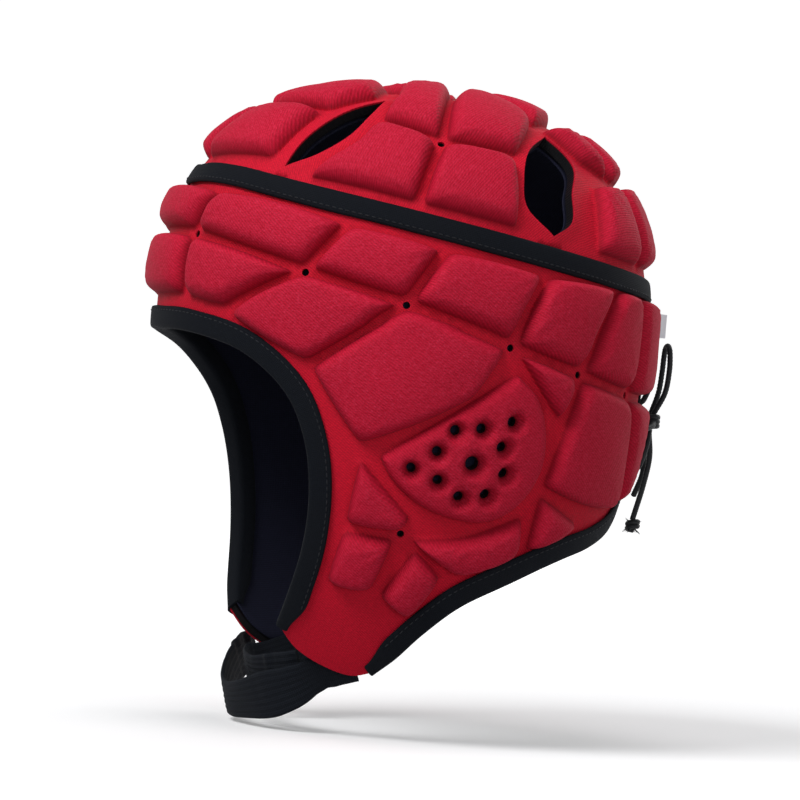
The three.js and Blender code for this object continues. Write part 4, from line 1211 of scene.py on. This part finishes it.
def buildTape(name, line, seed):
    random = np.random.default_rng(seed)
    points = evenSteps(formPoints(line), tape["step"])
    line = directionsOf(points)
    run = lineLengths(points)
    tip = eased(np.minimum(run, run[-1] - run), 0, tape["taper"])
    widths = tapeWidths(line) * (tape["tipShare"] + (1 - tape["tipShare"]) * tip)
    spans = tape["swaySpans"]
    phases = random.uniform(0, fullTurn, len(spans))
    sway = sum(np.sin(run / span + phase) for span, phase in zip(spans, phases)) / len(spans)
    sections = np.array([tapeSection(width) for width in widths])
    rings = []
    for place in range(sections.shape[1]):
        reach, lift = sections[:, place, 0], sections[:, place, 1]
        top = lift > tape["swayTop"]
        low = lift + tape["sway"] * tape["swayLift"] * sway * top - (1 - tip) * top
        rings.append(onTape(line, reach + tape["sway"] * sway * (reach > tape["swayReach"]), low))
    shape = np.stack(rings, 1)
    across = lineLengths(np.array(tapeSection(tape["width"])))
    return makePiece(name, shape.reshape(-1, 3), tubeFaces(*shape.shape[:2], flip=True), finishes["tape"],
                     clothChart(run, across))


edgeRun = np.vstack((edgeLeft[::-1], mirrored(edgeLeft)[1:]))
faceRun = np.vstack((mirrored(faceLeft), faceLeft[::-1][1:]))
for tapeName, tapeRun, tapeSeed in (("edge_tape", edgeRun, 3), ("face_tape", faceRun, 5)):
    standFor(buildTape(tapeName + "_bound", tapeRun, tapeSeed), tapeName)
print("tape folded")


# Node tree that grows copies on a path or a surface and leaves plain geometry
class Growth(NodeWork):
    def __init__(self, name, **amounts):
        super().__init__(bpy.data.node_groups.new(name, "GeometryNodeTree"))
        sockets = self.tree.interface
        sockets.new_socket("Geometry", in_out="INPUT", socket_type="NodeSocketGeometry")
        sockets.new_socket("Geometry", in_out="OUTPUT", socket_type="NodeSocketGeometry")
        self.settings = {}
        for amount, value in amounts.items():
            kind = "NodeSocketInt" if isinstance(value, int) else "NodeSocketFloat"
            made = sockets.new_socket(amount, in_out="INPUT", socket_type=kind)
            self.settings[made.identifier] = value
        self.entry = self.tree.nodes.new("NodeGroupInput")

    def given(self, name):
        return Signal(self, self.entry.outputs[name])

    def close(self, places, shape, size, material):
        copies = self.node("GeometryNodeInstanceOnPoints", {}, Points=places, Instance=shape,
                           Rotation=places.beside("Rotation"), Scale=size)
        solid = self.node("GeometryNodeRealizeInstances", {}, copies)
        dressed = self.node("GeometryNodeSetMaterial", {}, solid, Material=material)
        self.link(dressed, self.tree.nodes.new("NodeGroupOutput").inputs[0])

    def grow(self, name, points, edges, faces):
        base = bpy.data.meshes.new(name)
        base.from_pydata((np.asarray(points) * mm).tolist(), edges, faces)
        piece = bpy.data.objects.new(name, base)
        bpy.context.scene.collection.objects.link(piece)
        modifier = piece.modifiers.new("growth", "NODES")
        modifier.node_group = self.tree
        for key, value in self.settings.items():
            modifier[key] = value
        graph = bpy.context.evaluated_depsgraph_get()
        grown = bpy.data.meshes.new_from_object(piece.evaluated_get(graph))
        piece.modifiers.clear()
        piece.data = grown
        bpy.data.meshes.remove(base)
        grown.name = name
        grown.shade_smooth()
        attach(piece, "root")
        return piece


# Sewing along the inner edge of each tape, half sunk in the cloth
stitch = {
    "pitch": 2.9, "long": 2.1, "wide": 0.55, "inset": 1.7, "lift": 0.08, "sides": 8, "rings": 5,
    "clear": 8,
}


def stitchTree():
    tree = Growth("stitches", Pitch=stitch["pitch"] * mm, Long=stitch["long"] * mm,
                  Wide=stitch["wide"] * mm)
    path = tree.node("GeometryNodeMeshToCurve", {}, tree.given("Geometry"))
    places = tree.node("GeometryNodeCurveToPoints", {"mode": "LENGTH"}, output="Points", Curve=path,
                       Length=tree.given("Pitch"))
    bead = tree.node("GeometryNodeMeshUVSphere", {}, stitch["sides"], stitch["rings"], 0.5)
    size = tree.node("ShaderNodeCombineXYZ", {}, tree.given("Wide"), tree.given("Wide"), tree.given("Long"))
    tree.close(places, bead, size, finishes["thread"])
    return tree


sewing = stitchTree()
for sewnName, sewnRun in (("edge_tape", edgeRun), ("face_tape", faceRun)):
    sewnLine = directionsOf(evenSteps(formPoints(sewnRun), tape["step"]))[stitch["clear"]:-stitch["clear"]]
    sewnPath = onTape(sewnLine, tapeWidths(sewnLine) - stitch["inset"], tape["top"] + stitch["lift"])
    sewnEdges = [(number, number + 1) for number in range(len(sewnPath) - 1)]
    sewing.grow(sewnName + "_stitches", sewnPath, sewnEdges, [])


# Frayed fibres standing out of the knot at the end of the long tail
def fibreTree():
    tree = Growth("fibres", Thickly=endKnot["thickly"] / mm ** 2, Long=endKnot["fibre"] * mm,
                  Hair=endKnot["hair"] * mm, Seed=endKnot["seed"])
    places = tree.node("GeometryNodeDistributePointsOnFaces", {}, output="Points",
                       Mesh=tree.given("Geometry"), Density=tree.given("Thickly"), Seed=tree.given("Seed"))
    hair = tree.node("GeometryNodeMeshCone", {}, **{
        "Vertices": endKnot["hairSides"], "Radius Top": tree.given("Hair") * endKnot["hairTip"],
        "Radius Bottom": tree.given("Hair"), "Depth": tree.given("Long")})
    chance = tree.node("FunctionNodeRandomValue", {"data_type": "FLOAT"}, output=1, Seed=tree.given("Seed"))
    size = chance * endKnot["sizeSpread"] + endKnot["sizeLeast"]
    tree.close(places, hair, size, finishes["thread"])
    return tree


# Small eight-sided core inside the knot, which the fibres stand on
coreWays = [(1, 0, 0), (0, 1, 0), (-1, 0, 0), (0, -1, 0), (0, 0, 1), (0, 0, -1)]
coreFaces = [(a, (a + 1) % 4, 4) for a in range(4)] + [((a + 1) % 4, a, 5) for a in range(4)]
corePoints = endPlace + endKnot["core"] * np.array(coreWays)
fibrePiece = fibreTree().grow("lace_end_fibres", corePoints, [], coreFaces)
print("sewn and frayed")

# Chin strap: middle of the band, its height and the outward lean of its upper edge
strap = {
    "thick": 2.4, "step": 1.2, "points": 33, "ribs": 7, "rib": 0.32, "edgePower": 8, "girth": 9,
    "gather": 0.6, "gatherReach": 30, "foldSpans": (1.7, 1.02), "foldMix": (1, 0.6), "foldLean": 8,
    "foldShares": (0.6, 0.4), "foldTurn": 3, "slack": 0.45, "slackSpans": (6.1, 9.7), "slackTurn": 2,
    "slackPhase": 1,
}
outerStrap = [
    (43.8, -21, -242.5, 17, 27), (38.6, -35, -247.5, 17, 24), (36, -44, -253.5, 19, 20),
    (28, -53, -258.5, 21, 18), (8, -60.5, -263, 17, 16), (-14, -61.5, -264, 16, 16),
    (-36, -55, -257.5, 20, 16), (-56, -46, -248, 19, 10), (-69, -38, -240.5, 9, 4),
]
innerStrap = [
    (-43.8, -21, -242.5, 17, 27), (-38.6, -34, -247, 17, 24), (-35, -42, -249.5, 18, 20),
    (-27, -48.5, -249.5, 18, 16), (-12, -54, -249.5, 14, 14), (5, -54.5, -251, 15, 14),
    (20, -49.5, -250, 18, 16), (32, -41, -247, 18, 18),
]


def buildStrap(name, rows, seed):
    random = np.random.default_rng(seed)
    line = smoothLine(rows)
    run = lineLengths(line[:, :3])
    places = np.linspace(0, run[-1], round(run[-1] / strap["step"]) + 1)
    line = sampled(line, run, places)
    middle, height, lean = line[:, :3], line[:, 3], np.radians(line[:, 4])
    along = unit(np.gradient(middle, axis=0))
    across = unit(np.array((0, 0, 1)) - along * along[:, 2:])
    turn = -lean * np.sign(rows[0][0] - rows[-1][0])
    across = across * np.cos(turn)[:, None] + np.cross(along, across) * np.sin(turn)[:, None]
    out = np.cross(along, across)
    up = np.linspace(-1, 1, strap["points"])
    fromEnd = np.minimum(places, run[-1] - places)
    phases = random.uniform(0, fullTurn, 4)
    first, second = (np.sin(places / span + phase) for span, phase in zip(strap["foldSpans"], phases[:2]))
    folds = first * strap["foldMix"][0] + strap["foldMix"][1] * second
    folds = folds * np.exp(-(fromEnd / strap["gatherReach"]) ** 2)
    first, second = (np.sin(places / span + phase) for span, phase in zip(strap["slackSpans"], phases[2:]))
    slack = (first + second) / 2
    rib = strap["rib"] * (0.5 + 0.5 * np.cos(up * math.pi * strap["ribs"]))
    edge = np.sqrt(np.clip(1 - np.abs(up) ** strap["edgePower"], 0, 1))
    steady, leaning = strap["foldShares"]
    fan = steady + leaning * np.cos(up * strap["foldTurn"] + places[:, None] / strap["foldLean"])
    sag = np.cos(up * strap["slackTurn"] + strap["slackPhase"])
    waves = strap["gather"] * (folds[:, None] * fan + strap["slack"] * slack[:, None] * sag)
    level = middle[:, None] + across[:, None] * (up * 0.5)[None, :, None] * height[:, None, None]
    half = (strap["thick"] / 2 - strap["rib"] + rib) * edge
    front, back = (level + out[:, None] * (face * half + waves)[..., None] for face in (1, -1))
    ring = np.concatenate((front, back[:, ::-1]), 1)
    girth = np.concatenate((up, up[::-1])) * strap["girth"]
    return makePiece(name, ring.reshape(-1, 3), tubeFaces(*ring.shape[:2], flip=True), finishes["elastic"],
                     clothChart(places, girth))


for strapName, strapRows, strapSeed in (
        ("chin_strap_outer", outerStrap, 31), ("chin_strap_inner", innerStrap, 37)):
    standFor(buildStrap(strapName + "_elastic", strapRows, strapSeed), strapName)
print("chin strap sewn in")

# Label: a bare ribbon folded into a loop, its cut ends under the tape
label = {
    "wall": 0.35, "reach": 11, "drop": 10.5, "fold": 1.1, "turn": 62, "place": (174.6, 86), "lift": 7.05,
    "clear": 0.6, "wave": 0.5, "waveSpan": 3.2, "sag": 0.35, "sideSteps": 12, "foldSteps": 15,
    "dropSteps": 15,
}


def buildLabel():
    bend = label["reach"] - label["fold"] - label["wall"]
    turn = np.linspace(-math.pi / 2, math.pi / 2, label["foldSteps"])
    loop = [(along, -1.0) for along in np.linspace(0, bend, label["sideSteps"])]
    loop += [(bend + label["fold"] * math.cos(t), math.sin(t)) for t in turn[1:-1]]
    loop += [(along, 1.0) for along in np.linspace(bend, 0, label["sideSteps"])]
    line = np.array(loop) * np.array((1, label["fold"]))
    line[:, 1] += label["wave"] * np.sin(line[:, 0] / label["waveSpan"])
    run = lineLengths(line)
    ahead = unit(np.gradient(line, axis=0))
    aside = np.stack((ahead[:, 1], -ahead[:, 0]), 1)
    down = np.linspace(0, -label["drop"], label["dropSteps"])
    angle = math.pi - math.radians(label["turn"])
    foot = formPoints([toward(*label["place"])], label["lift"])[0]
    foot = foot + np.array((0, label["fold"] + label["clear"], label["drop"] / 2))
    sag = label["sag"] * np.sin(run / run[-1] * math.pi)
    sheets = []
    for face in (0.5, -0.5):
        flat = line + aside * face * label["wall"]
        x = flat[:, 0] * math.cos(angle) - flat[:, 1] * math.sin(angle)
        y = flat[:, 0] * math.sin(angle) + flat[:, 1] * math.cos(angle)
        sheets.append(np.stack([np.stack((x, y, z - sag), 1) for z in down], 1) + foot)
    count, deep = sheets[0].shape[:2]
    points = np.concatenate([sheet.reshape(-1, 3) for sheet in sheets])
    index = np.arange(count * deep).reshape(count, deep)
    quads = np.stack((index[:-1, :-1], index[1:, :-1], index[1:, 1:], index[:-1, 1:]), -1).reshape(-1, 4)
    faces = quads[:, ::-1].tolist() + (quads + count * deep).tolist()
    border = np.concatenate((index[:-1, 0], index[-1, :-1], index[:0:-1, -1], index[0, :0:-1]))
    for a, b in zip(border, np.roll(border, -1)):
        faces.append([a, b, b + count * deep, a + count * deep])
    chart = np.vstack([clothChart(run, down)] * 2)
    return makePiece("label_tab_ribbon", points, faces, finishes["satin"], chart), run[-1]


labelPiece, labelLength = buildLabel()
standFor(labelPiece, "label_tab")
print("label sewn on")

# Stage, in metres: a round pale floor that sweeps up far away, and soft lights
stage = {
    "rings": (0.5, 1.0, 2.0), "flat": 3.4, "far": 6.0, "wall": 3.0, "sweepSteps": 24, "sides": 96,
    "drop": 0.002, "glowRange": (0.35, 1.7), "nearGlow": (0.14, 0.14, 0.14, 1),
    "farGlow": (0.72, 0.72, 0.72, 1), "grain": 0.4, "deep": shade(238, 238, 240),
    "pale": shade(246, 246, 247), "world": 0.28, "lightAim": (0, 0, -0.13),
}
# Azimuth and elevation, distance, width and power of each light
lights = {
    "key": (34, 44, 2.0, 0.9, 28),
    "fill": (88, -4, 2.3, 1.6, 19),
    "top": (60, 80, 2.0, 1.1, 9),
    "rear": (215, 30, 2.2, 1.4, 13),
}


def floorFinish():
    finish = Finish("pale_floor", Roughness=0.9, Emission_Strength=1.0)
    finish.colour(finish.blend(finish.noise(stage["grain"]), stage["deep"], stage["pale"]))
    place = finish.node("ShaderNodeTexCoord", {}, output="Object")
    reach = finish.node("ShaderNodeVectorMath", {"operation": "LENGTH"}, place, output="Value")
    lit = finish.blend(reach.spread(*stage["glowRange"]), stage["nearGlow"], stage["farGlow"])
    finish.link(lit, finish.shader.inputs["Emission Color"])
    return finish.material


def buildFloor(level):
    profile = [(reach, 0.0) for reach in (*stage["rings"], stage["flat"])]
    for turn in np.linspace(0, math.pi / 2, stage["sweepSteps"])[1:]:
        profile.append((stage["flat"] + (stage["far"] - stage["flat"]) * math.sin(turn),
                        stage["wall"] * (1 - math.cos(turn))))
    sides = stage["sides"]
    turn = np.arange(sides) * fullTurn / sides
    rings = np.array([[(r * math.cos(t), r * math.sin(t), z) for t in turn] for r, z in profile])
    points = np.vstack((np.zeros((1, 3)), rings.reshape(-1, 3))) + np.array((0, 0, level))
    index = 1 + np.arange(len(rings) * sides).reshape(len(rings), sides)
    ahead = np.roll(index, -1, 1)
    faces = [[0, a, b] for a, b in zip(index[0], ahead[0])]
    faces += np.stack((index[:-1], index[1:], ahead[1:], ahead[:-1]), -1).reshape(-1, 4).tolist()
    mesh = bpy.data.meshes.new("floor")
    mesh.from_pydata(points.tolist(), [], faces)
    mesh.materials.append(floorFinish())
    mesh.shade_smooth()
    floor = bpy.data.objects.new("floor", mesh)
    floor.visible_diffuse = False  # the backdrop glows for the camera alone
    bpy.context.scene.collection.objects.link(floor)
    floor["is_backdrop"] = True


def softLight(name, azimuth, elevation, distance, size, power):
    data = bpy.data.lights.new(name, "AREA")
    data.shape = "DISK"
    data.size = size
    data.energy = power
    lamp = bpy.data.objects.new(name, data)
    a, e = math.radians(azimuth), math.radians(elevation)
    back = Vector((math.sin(a) * math.cos(e), -math.cos(a) * math.cos(e), math.sin(e)))
    lamp.location = Vector(stage["lightAim"]) + back * distance
    lamp.rotation_mode = "QUATERNION"
    lamp.rotation_quaternion = (-back).to_track_quat("-Z", "Y")
    bpy.context.scene.collection.objects.link(lamp)


buildFloor(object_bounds()[0].z - stage["drop"])
for lightName, lightSetup in lights.items():
    softLight(lightName, *lightSetup)
world = bpy.data.worlds.new("studio")
bpy.context.scene.world = world
world.use_nodes = True
backdrop = world.node_tree.nodes["Background"].inputs
backdrop["Color"].default_value = (1, 1, 1, 1)
backdrop["Strength"].default_value = stage["world"]
bpy.context.scene.view_settings.view_transform = "Standard"
print("lights up")
